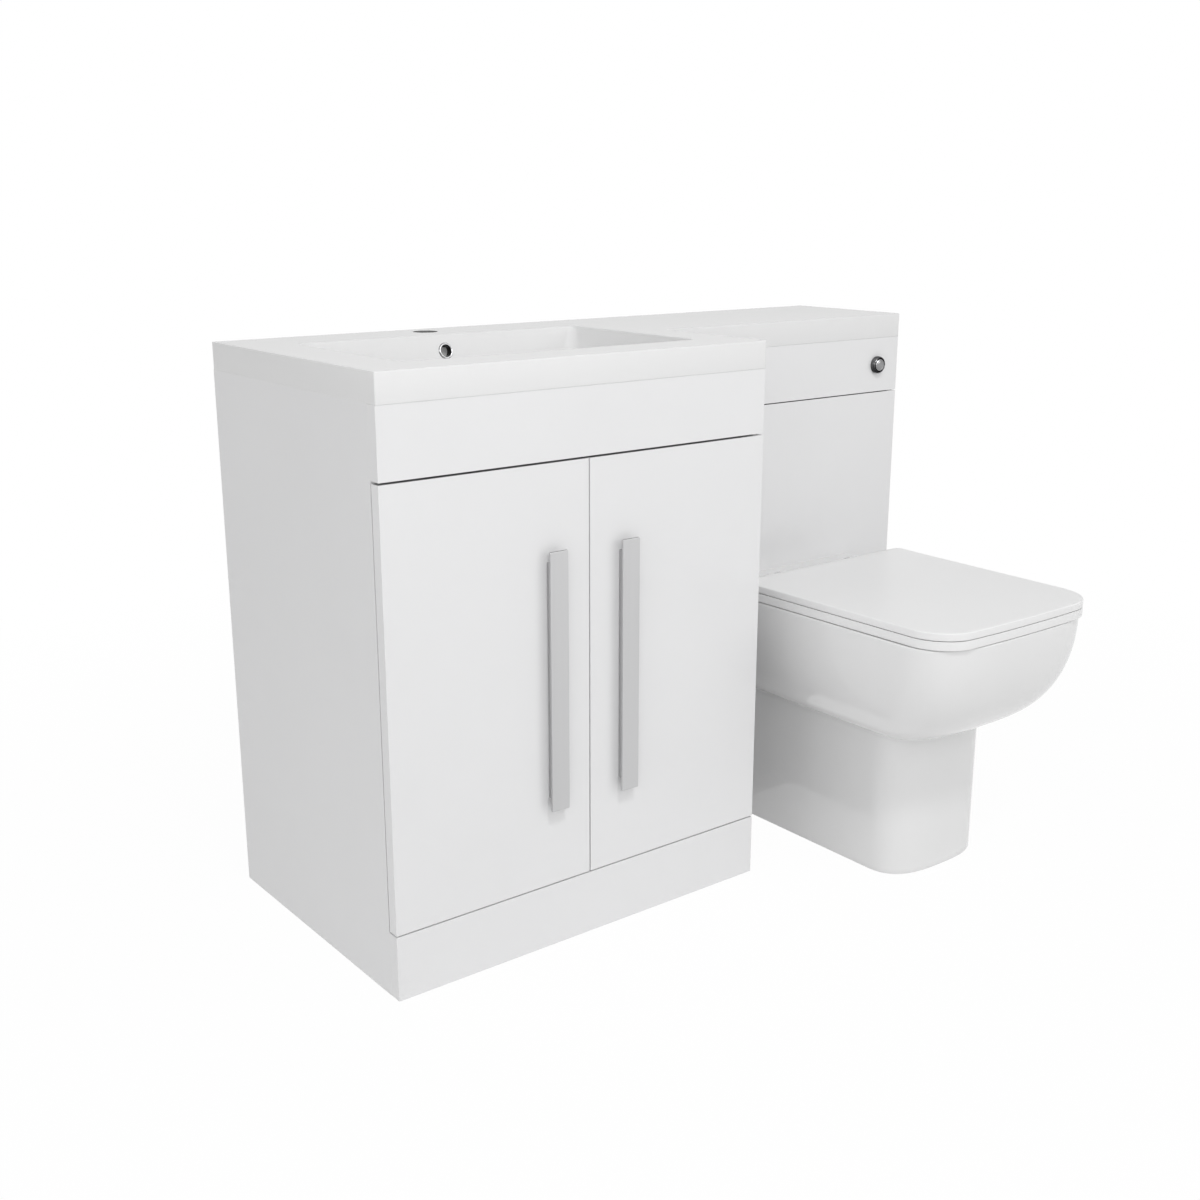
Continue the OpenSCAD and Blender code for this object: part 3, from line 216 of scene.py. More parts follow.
def ovalReach(t, a, b, power):
    # how far from its middle a squared oval of half sizes a and b lies in each direction t
    return (np.abs(np.cos(t) / a) ** power + np.abs(np.sin(t) / b) ** power) ** (-1 / power)


def softened(points, cut, steps=4):
    # a profile whose inner corners are rounded by a curve that starts and ends the cut away from each
    p = np.array(points, float)
    cuts = np.broadcast_to(np.asarray(cut, float), len(p))
    rows = [p[:1]]
    t = np.linspace(0, 1, steps + 1)[:, None]
    for k in range(1, len(p) - 1):
        back, on = p[k - 1] - p[k], p[k + 1] - p[k]
        a = p[k] + back * min(cuts[k] / np.linalg.norm(back), 0.45)
        b = p[k] + on * min(cuts[k] / np.linalg.norm(on), 0.45)
        rows.append(bend(a, p[k], b, t))
    return np.vstack(rows + [p[-1:]])


def lathe(profile, centre, axis, steps=64):
    # a profile of radius and height turned about an axis through the centre
    profile = np.asarray(profile, float)
    t = np.linspace(0, 2 * math.pi, steps, endpoint=False)
    circle = np.stack([np.cos(t), np.sin(t)], 1)
    rings = withHeight(profile[:, 0][:, None, None] * circle, profile[:, 1])
    return ringPatch(turned(rings, axis) + np.asarray(centre, float), axis == "y")


def sweep(path, radius, steps=24):
    # a round tube: at each point of the path a circle stands square to the path's direction
    path = np.asarray(path, float)
    ahead = np.gradient(path, axis=0)
    ahead /= np.linalg.norm(ahead, axis=1)[:, None]
    across = np.cross(ahead, [1.0, 0, 0])
    across /= np.linalg.norm(across, axis=1)[:, None]
    over = np.cross(ahead, across)
    t = np.linspace(0, 2 * math.pi, steps, endpoint=False)[:, None]
    return path[:, None] + radius * (np.cos(t) * across[:, None] + np.sin(t) * over[:, None])


def curvePath(points, steps=6):
    # a smooth path through points: a cubic for each stretch, along its neighbours' line at each point
    p = np.array(points, float)
    padded = np.vstack([2 * p[0] - p[1], p, 2 * p[-1] - p[-2]])
    t = np.linspace(0, 1, steps, endpoint=False)[:, None, None]
    a, b, c, d = padded[:-3], padded[1:-2], padded[2:-1], padded[3:]
    square, cube = 2 * a - 5 * b + 4 * c - d, 3 * b - a - 3 * c + d
    run = 0.5 * (2 * b + (c - a) * t + square * t ** 2 + cube * t ** 3)
    return np.vstack([run.transpose(1, 0, 2).reshape(-1, 3), p[-1:]])


# finishes: two shader groups, which each material uses with its own values

def groupSockets(tree, inputs, outputs):
    # a group's inputs, whose kinds follow from their usual values, and its outputs with their kinds
    for name, value in inputs.items():
        kind = "Float" if isinstance(value, float) else "Vector" if len(value) == 3 else "Color"
        socket = tree.interface.new_socket(name=name, in_out="INPUT", socket_type="NodeSocket" + kind)
        socket.default_value = value
    for name, kind in outputs.items():
        tree.interface.new_socket(name=name, in_out="OUTPUT", socket_type="NodeSocket" + kind)
    return tree.nodes.new("NodeGroupInput"), tree.nodes.new("NodeGroupOutput")


def addNode(tree, kind, **settings):
    node = tree.nodes.new(kind)
    inputs = settings.pop("inputs", {})
    for key, value in settings.items():
        setattr(node, key, value)
    for key, value in inputs.items():
        node.inputs[key].default_value = value
    return node


def linkUp(tree, *rows):
    # each row names a node, its output, the next node and its input
    for source, output, target, socket in rows:
        tree.links.new(source.outputs[output], target.inputs[socket])


def surfaceWaves():
    # slow and fine waves of a polished surface, as one height
    tree = bpy.data.node_groups.new("surfaceWaves", "ShaderNodeTree")
    start, end = groupSockets(tree, {"Coordinates": (0, 0, 0), "Slow Scale": 14.0, "Fine Scale": 240.0,
                                     "Fine Share": 0.15}, {"Height": "Float"})
    slow = addNode(tree, "ShaderNodeTexNoise", inputs={"Detail": 1.5, "Roughness": 0.4})
    fine = addNode(tree, "ShaderNodeTexNoise", inputs={"Detail": 2.0, "Roughness": 0.5})
    share = addNode(tree, "ShaderNodeMath", operation="MULTIPLY")
    total = addNode(tree, "ShaderNodeMath", operation="ADD")
    linkUp(tree, (start, "Coordinates", slow, "Vector"), (start, "Coordinates", fine, "Vector"),
           (start, "Slow Scale", slow, "Scale"), (start, "Fine Scale", fine, "Scale"),
           (fine, "Fac", share, 0), (start, "Fine Share", share, 1),
           (slow, "Fac", total, 0), (share, 0, total, 1), (total, 0, end, "Height"))
    return tree


def patchyTone():
    # two colours mixed by soft patches, and a roughness that follows them; shade mixes in a dark colour,
    # which paints shade and reflections onto a surface
    tree = bpy.data.node_groups.new("patchyTone", "ShaderNodeTree")
    start, end = groupSockets(tree, {"Coordinates": (0, 0, 0), "Scale": 6.0, "Colour": (0.8, 0.8, 0.8, 1),
                                     "Second Colour": (0.78, 0.78, 0.78, 1), "Shade": 0.0,
                                     "Dark Colour": (0.05, 0.05, 0.05, 1), "Low Roughness": 0.12,
                                     "High Roughness": 0.2}, {"Colour": "Color", "Roughness": "Float"})
    cloud = addNode(tree, "ShaderNodeTexNoise", inputs={"Detail": 4.0, "Roughness": 0.55})
    even = addNode(tree, "ShaderNodeMapRange", inputs={"From Min": 0.3, "From Max": 0.7})
    tone = addNode(tree, "ShaderNodeMix", data_type="RGBA")
    dark = addNode(tree, "ShaderNodeMix", data_type="RGBA")
    polish = addNode(tree, "ShaderNodeMapRange")
    linkUp(tree, (start, "Coordinates", cloud, "Vector"), (start, "Scale", cloud, "Scale"),
           (cloud, "Fac", even, "Value"), (even, "Result", tone, "Factor"), (start, "Colour", tone, "A"),
           (start, "Second Colour", tone, "B"), (even, "Result", polish, "Value"),
           (start, "Low Roughness", polish, "To Min"), (start, "High Roughness", polish, "To Max"),
           (start, "Shade", dark, "Factor"), (tone, "Result", dark, "A"), (start, "Dark Colour", dark, "B"),
           (dark, "Result", end, "Colour"), (polish, "Result", end, "Roughness"))
    return tree


wavesGroup = surfaceWaves()
toneGroup = patchyTone()


def grey(level):
    return (level, level, level)


def finish(name, colour, second=None, roughness=(0.12, 0.18), metallic=0.0, specular=0.5, patchScale=6.0,
           waves=(14.0, 240.0, 0.15), bump=0.05, depth=0.0005, stretch=(1, 1, 1), dark=None):
    # a material from both groups; waves are the slow and fine scales and the fine share, stretch scales the
    # pattern's coordinates, and dark is the colour that a piece's painted shade mixes in
    material = bpy.data.materials.new(name)
    material.use_nodes = True
    tree = material.node_tree
    shader = tree.nodes["Principled BSDF"]
    place = addNode(tree, "ShaderNodeTexCoord")
    scale = addNode(tree, "ShaderNodeMapping", inputs={"Scale": stretch})
    tone = addNode(tree, "ShaderNodeGroup", node_tree=toneGroup)
    wave = addNode(tree, "ShaderNodeGroup", node_tree=wavesGroup)
    relief = addNode(tree, "ShaderNodeBump", inputs={"Strength": bump, "Distance": depth})
    second = second or [c * 0.985 for c in colour]
    toneValues = {"Scale": patchScale, "Colour": (*colour, 1), "Second Colour": (*second, 1),
                  "Low Roughness": roughness[0], "High Roughness": roughness[1]}
    waveValues = dict(zip(("Slow Scale", "Fine Scale", "Fine Share"), waves))
    shaderValues = {"Metallic": metallic, "Specular IOR Level": specular}
    if dark:
        marks = addNode(tree, "ShaderNodeAttribute", attribute_name="shade")
        toneValues["Dark Colour"] = (*dark, 1)
        linkUp(tree, (marks, "Fac", tone, "Shade"))
    for node, values in ((tone, toneValues), (wave, waveValues), (shader, shaderValues)):
        for socket, value in values.items():
            node.inputs[socket].default_value = value
    linkUp(tree, (place, "Object", scale, "Vector"), (scale, "Vector", tone, "Coordinates"),
           (scale, "Vector", wave, "Coordinates"), (wave, "Height", relief, "Height"),
           (tone, "Colour", shader, "Base Color"), (tone, "Roughness", shader, "Roughness"),
           (relief, "Normal", shader, "Normal"))
    return material


slotFinish = {
    "gloss_board": finish("glossWhiteBoard", (0.80, 0.80, 0.805), roughness=(0.16, 0.22), bump=0.12,
                          waves=(9.0, 300.0, 0.05), dark=grey(0.04)),
    "carcass_board": finish("satinWhiteBoard", grey(0.76), roughness=(0.38, 0.48), bump=0.25,
                            waves=(60.0, 900.0, 0.6), depth=0.0004),
    "resin": finish("castResin", grey(0.82), grey(0.82), roughness=(0.24, 0.24), bump=0.0, specular=0.15,
                    dark=grey(0.03)),
    "pan_ceramic": finish("glazedCeramic", grey(0.80), roughness=(0.02, 0.04), bump=0.04,
                          waves=(14.0, 160.0, 0.08), depth=0.0006),
    "seat_plastic": finish("seatPlastic", grey(0.88), grey(0.88), roughness=(0.28, 0.28), bump=0.0,
                           specular=0.2, dark=grey(0.2)),
    "handle_metal": finish("satinMetal", (0.60, 0.60, 0.605), (0.57, 0.57, 0.575), roughness=(0.34, 0.42),
                           metallic=1.0, patchScale=30, waves=(500.0, 3000.0, 0.6), bump=0.25,
                           depth=0.0002, stretch=(1, 1, 0.02), dark=grey(0.03)),
    "chrome_trim": finish("chrome", (0.62, 0.62, 0.63), roughness=(0.06, 0.12), metallic=1.0,
                          patchScale=60, bump=0.02, dark=(0.02, 0.02, 0.022)),
    "plated_steel": finish("platedSteel", grey(0.52), (0.45, 0.45, 0.46), roughness=(0.25, 0.38),
                           metallic=1.0, patchScale=50, bump=0.1),
    "clear_buffer": finish("clearBuffer", (0.74, 0.75, 0.76), roughness=(0.25, 0.35), bump=0.05),
    "black_rubber": finish("blackRubber", grey(0.03), roughness=(0.6, 0.75), bump=0.2),
    "cable_sheath": finish("cableSheath", grey(0.05), roughness=(0.45, 0.55), bump=0.1),
    "float_plastic": finish("floatPlastic", (0.45, 0.05, 0.04), roughness=(0.35, 0.45), bump=0.1),
    "valve_plastic": finish("valvePlastic", (0.04, 0.13, 0.38), roughness=(0.35, 0.45), bump=0.1),
    "grey_plastic": finish("greyPlastic", (0.16, 0.16, 0.165), roughness=(0.4, 0.5), bump=0.15),
    "cap_plastic": finish("capPlastic", grey(0.80), roughness=(0.2, 0.28), bump=0.05),
    "tank_plastic": finish("tankPlastic", (0.52, 0.53, 0.54), roughness=(0.42, 0.52), bump=0.25,
                           waves=(20.0, 700.0, 0.5), depth=0.0005),
    "pipe_plastic": finish("pipePlastic", grey(0.74), roughness=(0.25, 0.33), bump=0.06)}

for nodeName, node in nodes.items():
    node.data.materials.clear()
    node.data.materials.append(slotFinish[slotOf[nodeName]])
print("finishes made:", len(slotFinish))


def dress(name, patches, node, crease=32, shade=None):
    # patches in millimetres become one mesh, in which points closer than the weld distance are one; the
    # piece takes its body from the solid that it stands for and its finish from that solid's slot, and the
    # shade function gives each face, from its middle in millimetres, a share of the finish's dark colour
    points, faces, count = [], [], 0
    for patchPoints, patchFaces in patches:
        points.append(patchPoints)
        faces += (patchFaces + count).tolist()
        count += len(patchPoints)
    mesh = bpy.data.meshes.new(name)
    mesh.from_pydata(toFrame(np.vstack(points)), [], faces)
    bm = bmesh.new()
    bm.from_mesh(mesh)
    bmesh.ops.remove_doubles(bm, verts=bm.verts, dist=weldWithin / 1000)
    bmesh.ops.dissolve_degenerate(bm, edges=bm.edges, dist=slimWithin / 1000)
    bm.to_mesh(mesh)
    bm.free()
    mesh.shade_smooth()
    mesh.set_sharp_from_angle(angle=math.radians(crease))
    # painted shade: each face gets the shade function's share of the finish's dark colour
    if shade:
        middles = np.empty(len(mesh.polygons) * 3, np.float32)
        mesh.polygons.foreach_get("center", middles)
        dark = shade(middles.reshape(-1, 3) * 1000 - wallCorner)
        mesh.attributes.new("shade", "FLOAT", "FACE").data.foreach_set("value", dark.astype(np.float32))
    mesh.materials.append(slotFinish[slotOf[node]])
    piece = bpy.data.objects.new(name, mesh)
    scene.collection.objects.link(piece)
    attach(piece, bodyOf[node])
    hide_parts(node)


# boards: fascias and doors reach a little past their solids, to make the lines beside them as thin as seen
boards = {"edge": 0.16, "fasciaDown": 0.9, "doorOut": 0.3, "topBand": 0.05, "topShade": 0.6}
doors = {"cupRadius": 17.6, "cupDeep": 11.5, "cupInset": 22.5, "cupHeights": (184.0, 554.5)}
wcHoles = {"soil": (840.0, 180.0, 63.0), "flush": (840.0, 340.0, 30.0), "button": (1050.0, 696.0, 12.8)}
through = None  # the depth of a hole from face to face
boardAxes = {"vanity_left_side": "x", "vanity_right_side": "x", "vanity_base": "z",
             "vanity_rear_top_rail": "y", "vanity_rear_bottom_rail": "y", "vanity_front_rail": "y",
             "vanity_fascia": "y", "vanity_plinth": "y", "shelf": "z", "wc_left_side": "x",
             "wc_right_side": "x", "wc_front_rail": "y", "wc_floor_rail": "y", "wc_fascia": "y",
             "wc_front_panel": "y", "left_door": "y", "right_door": "y"}
boardHoles = {"wc_front_panel": [(*wcHoles["soil"], through), (*wcHoles["flush"], through)],
              "wc_fascia": [(*wcHoles["button"], through)]}
for k, node in enumerate(("left_door", "right_door")):
    low, high = nodeBox(node)
    x = (low[0] + doors["cupInset"], high[0] - doors["cupInset"])[k]
    boardHoles[node] = [(x, z, doors["cupRadius"], doors["cupDeep"]) for z in doors["cupHeights"]]


def topShade(top):
    # painted shade: the top edge of a door or panel is drawn dark, as the gap above it lies in shade
    return lambda p: np.where(p[:, 2] > top - boards["topBand"], boards["topShade"], 0.0)


for node, axis in boardAxes.items():
    low, high = nodeBox(node)
    if node.endswith("fascia"):
        low[2] -= boards["fasciaDown"]
    if node == "left_door":
        high[0] += boards["doorOut"]
    if node == "right_door":
        low[0] -= boards["doorOut"]
    a, b, h = (axisOrder[axis].index(way) for way in range(3))
    board = slab(boxOutline(low[a], low[b], high[a], high[b]), low[h], high[h], axis, boards["edge"],
                 boardHoles.get(node, ()))
    shaded = node.endswith("door") or node == "wc_front_panel"
    dress(node + "_board", board, node, shade=topShade(high[2]) if shaded else None)
print("boards made:", len(boardAxes))

# handles: a bar in front of a web
handle = {"plateThick": 3.5, "webWide": 18.5, "webInset": 15.0, "edge": 0.35, "overlap": 0.2,
          "endBand": 0.1, "endShade": 0.6, "webShade": 0.1}


def handleShade(front, top):
    # painted shade: the bar's top end is drawn dark, and the web behind the bar a little darker
    def shade(p):
        web = np.where(p[:, 1] > front + handle["plateThick"] + 0.1, handle["webShade"], 0.0)
        return np.where(p[:, 2] > top - handle["endBand"], handle["endShade"], web)
    return shade


for node in ("left_handle", "right_handle"):
    low, high = nodeBox(node)
    middle, halfWeb = (low[0] + high[0]) / 2, handle["webWide"] / 2
    plateBack = low[1] + handle["plateThick"]
    plate = slab(boxOutline(low[0], low[2], high[0], high[2]), low[1], plateBack, "y", handle["edge"])
    webOutline = boxOutline(middle - halfWeb, low[2] + handle["webInset"],
                            middle + halfWeb, high[2] - handle["webInset"])
    web = slab(webOutline, plateBack - handle["overlap"], high[1], "y", handle["edge"])
    dress(node + "_bar", plate + web, node, shade=handleShade(low[1], high[2]))
print("handles made")

# basin top: an L-shaped casting with a bowl, a tap hole, a waste seat and an overflow channel
basin = {"wide": 1100.0, "deep": 435.0, "shortWide": 596.0, "shortDeep": 228.0, "low": 740.0, "high": 777.0,
         "apron": 14.0, "wall": 13.0, "edge": 0.9, "lowEdge": 0.1, "cornerRadius": 1.8,
         "bowl": (76.0, -367.0, 530.0, -90.0), "floor": 662.0, "draft": 25.0, "mouthRadius": 12.0,
         "floorRadius": 22.0, "floorCorner": 12.0, "rim": 2.0,
         "tap": (303.0, -42.0, 17.5), "tapPad": (30.0, 24.0), "waste": (303.0, -228.5, 21.3),
         "wasteSeat": 36.0, "channel": (30.0, 14.0, 5.0), "channelEdge": 1.5, "channelBack": 24.0,
         "channelOver": 6.0, "overflowDown": 23.0, "overflowHole": 9.0, "overflowDeep": 22.0,
         "tapShade": 0.8, "tapShadeDown": 30.0}


def bowlRings(grow, high, rim):
    # the bowl's wall in rings from the rim to the floor: a quarter circle at the rim, a straight drafted
    # wall, and a floor edge that turns with the floor radius; grow moves it out by the resin's thickness
    mouth, hold, lipFlat = basin["mouthRadius"], 2.0, 0.8
    lowIn = basin["draft"] + basin["floorRadius"]
    run = (lowIn, basin["high"] - basin["floor"] - basin["floorRadius"])
    lean = math.atan2(*run) - math.asin(basin["floorRadius"] / math.hypot(*run))
    r = basin["floorRadius"] + grow
    t = np.linspace(math.pi / 2 - lean, 0, 14)
    inset = lowIn - r * np.sin(t)
    height = basin["floor"] + basin["floorRadius"] - r * np.cos(t)
    corner = basin["floorCorner"] + r * np.sin(t)
    wallTop = high - rim * 1.2
    wallIn = (basin["high"] - wallTop) * math.tan(lean) - grow / math.cos(lean)
    holdIn = hold * math.tan(lean)
    inset = np.concatenate([[wallIn, wallIn + holdIn, inset[0] - holdIn], inset])
    height = np.concatenate([[wallTop, wallTop - hold, height[0] + hold], height])
    corner = np.concatenate([[mouth + grow] * 2, [corner[0] * 0.98 + mouth * 0.02], corner])
    if rim:
        across, down = (part[:-1] for part in quarter(rim, 6))
        inset = np.concatenate([[wallIn - rim - lipFlat], wallIn - across, inset])
        height = np.concatenate([[high], high - down, height])
        corner = np.concatenate([[corner[0] + rim + lipFlat], corner[0] + across, corner])
    bowl = boxOutline(*basin["bowl"])
    flat = np.vstack([cornerRings(bowl, c + i, [i], steps=8) for c, i in zip(corner, inset)])
    return withHeight(flat, height), lean, np.argmax(height < wallTop - hold / 2)


outline = [(0, -basin["deep"]), (basin["shortWide"], -basin["deep"]),
           (basin["shortWide"], -basin["shortDeep"]), (basin["wide"], -basin["shortDeep"]),
           (basin["wide"], 0), (0, 0)]
edge, lowEdge, hold = basin["edge"], basin["lowEdge"], 0.8
ceiling = basin["high"] - basin["wall"]
across, down = quarter(edge, 6)
insets = np.concatenate([[basin["apron"], basin["apron"], lowEdge, 0.3 * lowEdge, 0, 0], across[::-1],
                         [edge + hold]])
heights = np.concatenate([[ceiling, basin["low"], basin["low"], basin["low"] + 0.3 * lowEdge,
                           basin["low"] + lowEdge, basin["high"] - edge - hold],
                          basin["high"] - down[::-1], [basin["high"]]])
outer = withHeight(cornerRings(outline, basin["cornerRadius"], insets), heights)
inner, lean, wallRow = bowlRings(0.0, basin["high"], basin["rim"])
tapX, tapY, tapR = basin["tap"]
padR, padDeep = basin["tapPad"]
tapRun = [(1.3, 0), (0.8, 0), (0.35, -0.12), (0.1, -0.4), (0, -0.9), (0, -padDeep)]
tapRings = circleRings(tapX, tapY, [(tapR + wider, basin["high"] + z) for wider, z in tapRun])
wasteX, wasteY, wasteR = basin["waste"]
around = inner.shape[1]
wasteAngle = np.arctan2(inner[-1][:, 1] - wasteY, inner[-1][:, 0] - wasteX)
wasteRing = np.stack([wasteX + wasteR * np.cos(wasteAngle), wasteY + wasteR * np.sin(wasteAngle)], 1)
floorShare = np.array([0.04, 0.3, 0.6, 0.92, 1.0])[:, None, None]
floorFlat = inner[-1][None, :, :2] * (1 - floorShare) + wasteRing * floorShare
bowlAll = np.concatenate([inner, withHeight(floorFlat, np.full(len(floorShare), basin["floor"]))])

# the back wall between two held rows is one flat face with the overflow's round hole
backTo = around // 4 * 3
backFrom = backTo - 1
rows = (wallRow, wallRow + 1)
backLoop = np.array([bowlAll[rows[0], backFrom], bowlAll[rows[0], backTo], bowlAll[rows[1], backTo],
                     bowlAll[rows[1], backFrom]])
t = np.linspace(0, 2 * math.pi, 40, endpoint=False)
overflowAt = np.array([tapX, basin["bowl"][3] - basin["overflowDown"] * math.tan(lean),
                       basin["high"] - basin["overflowDown"]])
holeR = basin["overflowHole"]
upWall, inward = np.array([[0, math.sin(lean), math.cos(lean)], [0, math.cos(lean), -math.sin(lean)]])
holeRing = overflowAt + holeR * (np.cos(t)[:, None] * np.array([1, 0, 0]) + np.sin(t)[:, None] * upWall)
holeEnd = holeRing + inward * basin["overflowDeep"]
bowlPoints, bowlFaces = ringPatch(bowlAll, True)
backCorners = [rows[0] * around + backFrom, rows[0] * around + backTo, rows[1] * around + backFrom]
bowlFaces = bowlFaces[np.isin(bowlFaces, backCorners).sum(1) < 3]
basinPatches = [ringPatch(outer), holedPatch([outer[-1], bowlAll[0], tapRings[0]], (0, 0, 1)),
                ringPatch(tapRings), (bowlPoints, bowlFaces), holedPatch([backLoop, holeRing], -inward),
                ringPatch(np.stack([holeRing, holeEnd])), holedPatch([holeEnd], -inward)]

# underside: the ceiling round the bowl, the bowl's outside, the bosses and the overflow channel
under, _, _ = bowlRings(basin["wall"], ceiling, 0.0)
under[0, :, 2] = ceiling
padLow = basin["high"] - padDeep
padRings = circleRings(tapX, tapY, [(padR, ceiling), (padR, padLow), (tapR, padLow)])
bottomZ = basin["floor"] - basin["wall"]
chanWide, chanDeep, chanWall = basin["channel"]
chanX = chanWide / 2 + chanWall
wasteLow = bottomZ - chanDeep - chanWall
bossR = basin["wasteSeat"]
boss = circleRings(wasteX, wasteY, [(bossR, bottomZ + 1), (bossR, wasteLow), (wasteR, wasteLow),
                                    (wasteR, basin["floor"])])
basinPatches += [holedPatch([outer[0], under[0], padRings[0]], (0, 0, -1)), ringPatch(padRings, True),
                 ringPatch(under), holedPatch([under[-1]], (0, 0, -1)), ringPatch(boss, True)]
chanBack = basin["bowl"][3] + basin["channelBack"] + chanWall
chanThick = chanDeep + 2 * chanWall
basinPatches += slab(boxOutline(wasteX - chanX, chanBack - chanThick, wasteX + chanX, chanBack),
                     wasteLow, overflowAt[2] + basin["channelOver"], "z", basin["channelEdge"])
basinPatches += slab(boxOutline(wasteX - chanX, wasteY, wasteX + chanX, chanBack),
                     wasteLow, wasteLow + chanThick, "z", basin["channelEdge"])


def fromOverflow(p):
    # how far points lie along the overflow's axis and from it
    way = p - overflowAt
    along = way @ inward
    return along, np.linalg.norm(way - along[:, None] * inward, axis=1)


def holePaintedShade(p):
    # painted shade: the walls of the tap hole and the inside of the overflow are drawn dark
    along, away = fromOverflow(p)
    nearTap = np.hypot(p[:, 0] - tapX, p[:, 1] - tapY) < tapR + 0.3
    tap = nearTap & (p[:, 2] > basin["high"] - basin["tapShadeDown"])
    return np.where(tap, basin["tapShade"], 0.0) + np.where((away < holeR + 0.2) & (along > 0.3), 1.0, 0.0)


dress("basin_top_casting", basinPatches, "basin_top", shade=holePaintedShade)
print("basin top made")

# toilet pan: a hollow foot, a rim that overhangs it, a bowl and a trapway; u runs forwards from the cabinet
pan = {"x": 840.0, "back": -227.0, "rimHigh": 385.0, "wide": 348.0, "long": 482.0, "frontCurve": 102.0,
       "rimPower": 3.6, "footWide": 200.0, "footLong": 364.0, "footCurve": 64.0, "footPower": 2.9,
       "deckWide": 304.0, "spread": 150.0, "crease": 220.0, "bulge": 2.2, "rimFillet": 2.2, "wall": 13.0,
       "ceiling": 207.0, "creaseSoft": 2.4, "footEdge": 1.5,
       "well": (232.0, 272.0, 306.0, 2.5), "sump": (96.0, 116.0, 235.0, 140.0), "wellPower": 0.85,
       "mouthFillet": 8.0, "sumpFillet": 22.0, "groove": (12.0, 26.0, 3.0), "throat": (211.0, 36.0, 62.0),
       "inlet": (340.0, 17.0, 30.0)}


def panOutline(share, inset):
    # sections of the pan for each share of the way from foot to rim: the side widens over the spread as a
    # parabola, runs straight, and closes in a squared quarter of an oval; its points have the directions of
    # points that lie evenly along the guide quarter
    guideSide, guideFront, guidePower = 150, 90, 3.2
    share, inset = (np.atleast_1d(np.asarray(v, float))[:, None] for v in (share, inset))
    side = mixed(pan["footWide"], pan["wide"], share) / 2 - inset
    back = mixed(pan["footWide"], pan["deckWide"], share) / 2 - inset
    reach = mixed(pan["footLong"], pan["long"], share) - inset
    curve = mixed(pan["footCurve"], pan["frontCurve"], share) - inset * 0.5
    power = mixed(pan["footPower"], pan["rimPower"], share)
    dense = np.linspace(0, math.pi / 2, 3000)
    arc = np.stack([guideSide * np.cos(dense) ** (2 / guidePower),
                    guideFront * np.sin(dense) ** (2 / guidePower)], 1)
    run = np.concatenate([[0], np.cumsum(np.linalg.norm(np.diff(arc, axis=0), axis=1))])
    phi = np.interp(np.linspace(0, run[-1], 45), run, dense)[None]
    u0 = np.array([0, 6, 14, 30, 50, 75, 100, 125, pan["spread"]])[None]
    x0 = back + (side - back) * (1 - (1 - u0 / pan["spread"]) ** 2)
    u1 = mixed(pan["spread"], reach - curve, np.linspace(0, 1, 9)[None, 1:-1])
    ahead = np.maximum(np.cos(phi), 0) ** (2 / power), np.sin(phi) ** (2 / power)
    half = np.concatenate([x0, side + 0 * u1, side * ahead[0]], 1)
    far = np.concatenate([u0 + 0 * side, u1, reach - curve + curve * ahead[1]], 1)
    x = np.concatenate([-half, half[:, -2::-1]], 1)
    u = np.concatenate([far, far[:, -2::-1]], 1)
    return np.stack([pan["x"] + x, pan["back"] - u], -1)


# share and height up the outside: the foot, a softened crease, and an arc of power that swells to the rim
sweepOn = np.linspace(0, math.pi / 2, 40)[1:]
swell = np.sin(sweepOn) ** (2 / pan["bulge"])
climb = pan["crease"] + (pan["rimHigh"] - pan["crease"]) * (1 - np.cos(sweepOn) ** (2 / pan["bulge"]))
leastSwell = 0.12
keep = (swell > leastSwell) & (climb < pan["rimHigh"] - pan["rimFillet"] - 3)
joinAt = np.argmax(keep)
t = np.linspace(0, 1, 9)
soft = pan["creaseSoft"]
slope = (climb[joinAt + 1] - climb[joinAt]) / (swell[joinAt + 1] - swell[joinAt])
creaseAt = climb[joinAt] - slope * swell[joinAt]
creaseShare = bend(0, 0, swell[joinAt], t)
creaseHigh = bend(creaseAt - soft, creaseAt, climb[joinAt], t)
lowRows = np.array([pan["footEdge"], 8, 60, 120, 170, pan["ceiling"]])
across, along = quarter(pan["rimFillet"], 7)
rimIn = np.concatenate([along, [pan["rimFillet"] + 1.5]])
rimUp = np.concatenate([pan["rimHigh"] - across, [pan["rimHigh"]]])
panShare = np.concatenate([np.zeros(2 + len(lowRows)), creaseShare, swell[keep][1:], np.ones(len(rimIn))])
panHigh = np.concatenate([[0, 0.4], lowRows, creaseHigh, climb[keep][1:], rimUp])
panIn = np.concatenate([[1.5, 0.5], np.zeros(len(lowRows) + len(t) + keep.sum() - 1), rimIn])
panOuter = withHeight(panOutline(panShare, panIn), panHigh)
split = 2 + len(lowRows)
panPatches = [ringPatch(panOuter[:split], closed=False), ringPatch(panOuter[split - 1:])]

# the hollow foot: an inner wall, a ceiling, and the ends of the walls at the cabinet
innerFoot = withHeight(panOutline([0, 0], [pan["wall"]] * 2), [0, pan["ceiling"]])
innerFoot[:, :, 1] = np.minimum(innerFoot[:, :, 1], pan["back"])
panPatches.append(ringPatch(innerFoot, flip=True, closed=False))
panPatches.append(holedPatch([innerFoot[1]], (0, 0, -1)))
panPatches.append(holedPatch([np.concatenate([panOuter[0], innerFoot[0][::-1]])], (0, 0, -1)))
for end in (0, -1):
    strip = np.array([panOuter[0, end], innerFoot[0, end], innerFoot[1, end], panOuter[split - 1, end]])
    panPatches.append(holedPatch([strip], (0, 1, 0)))


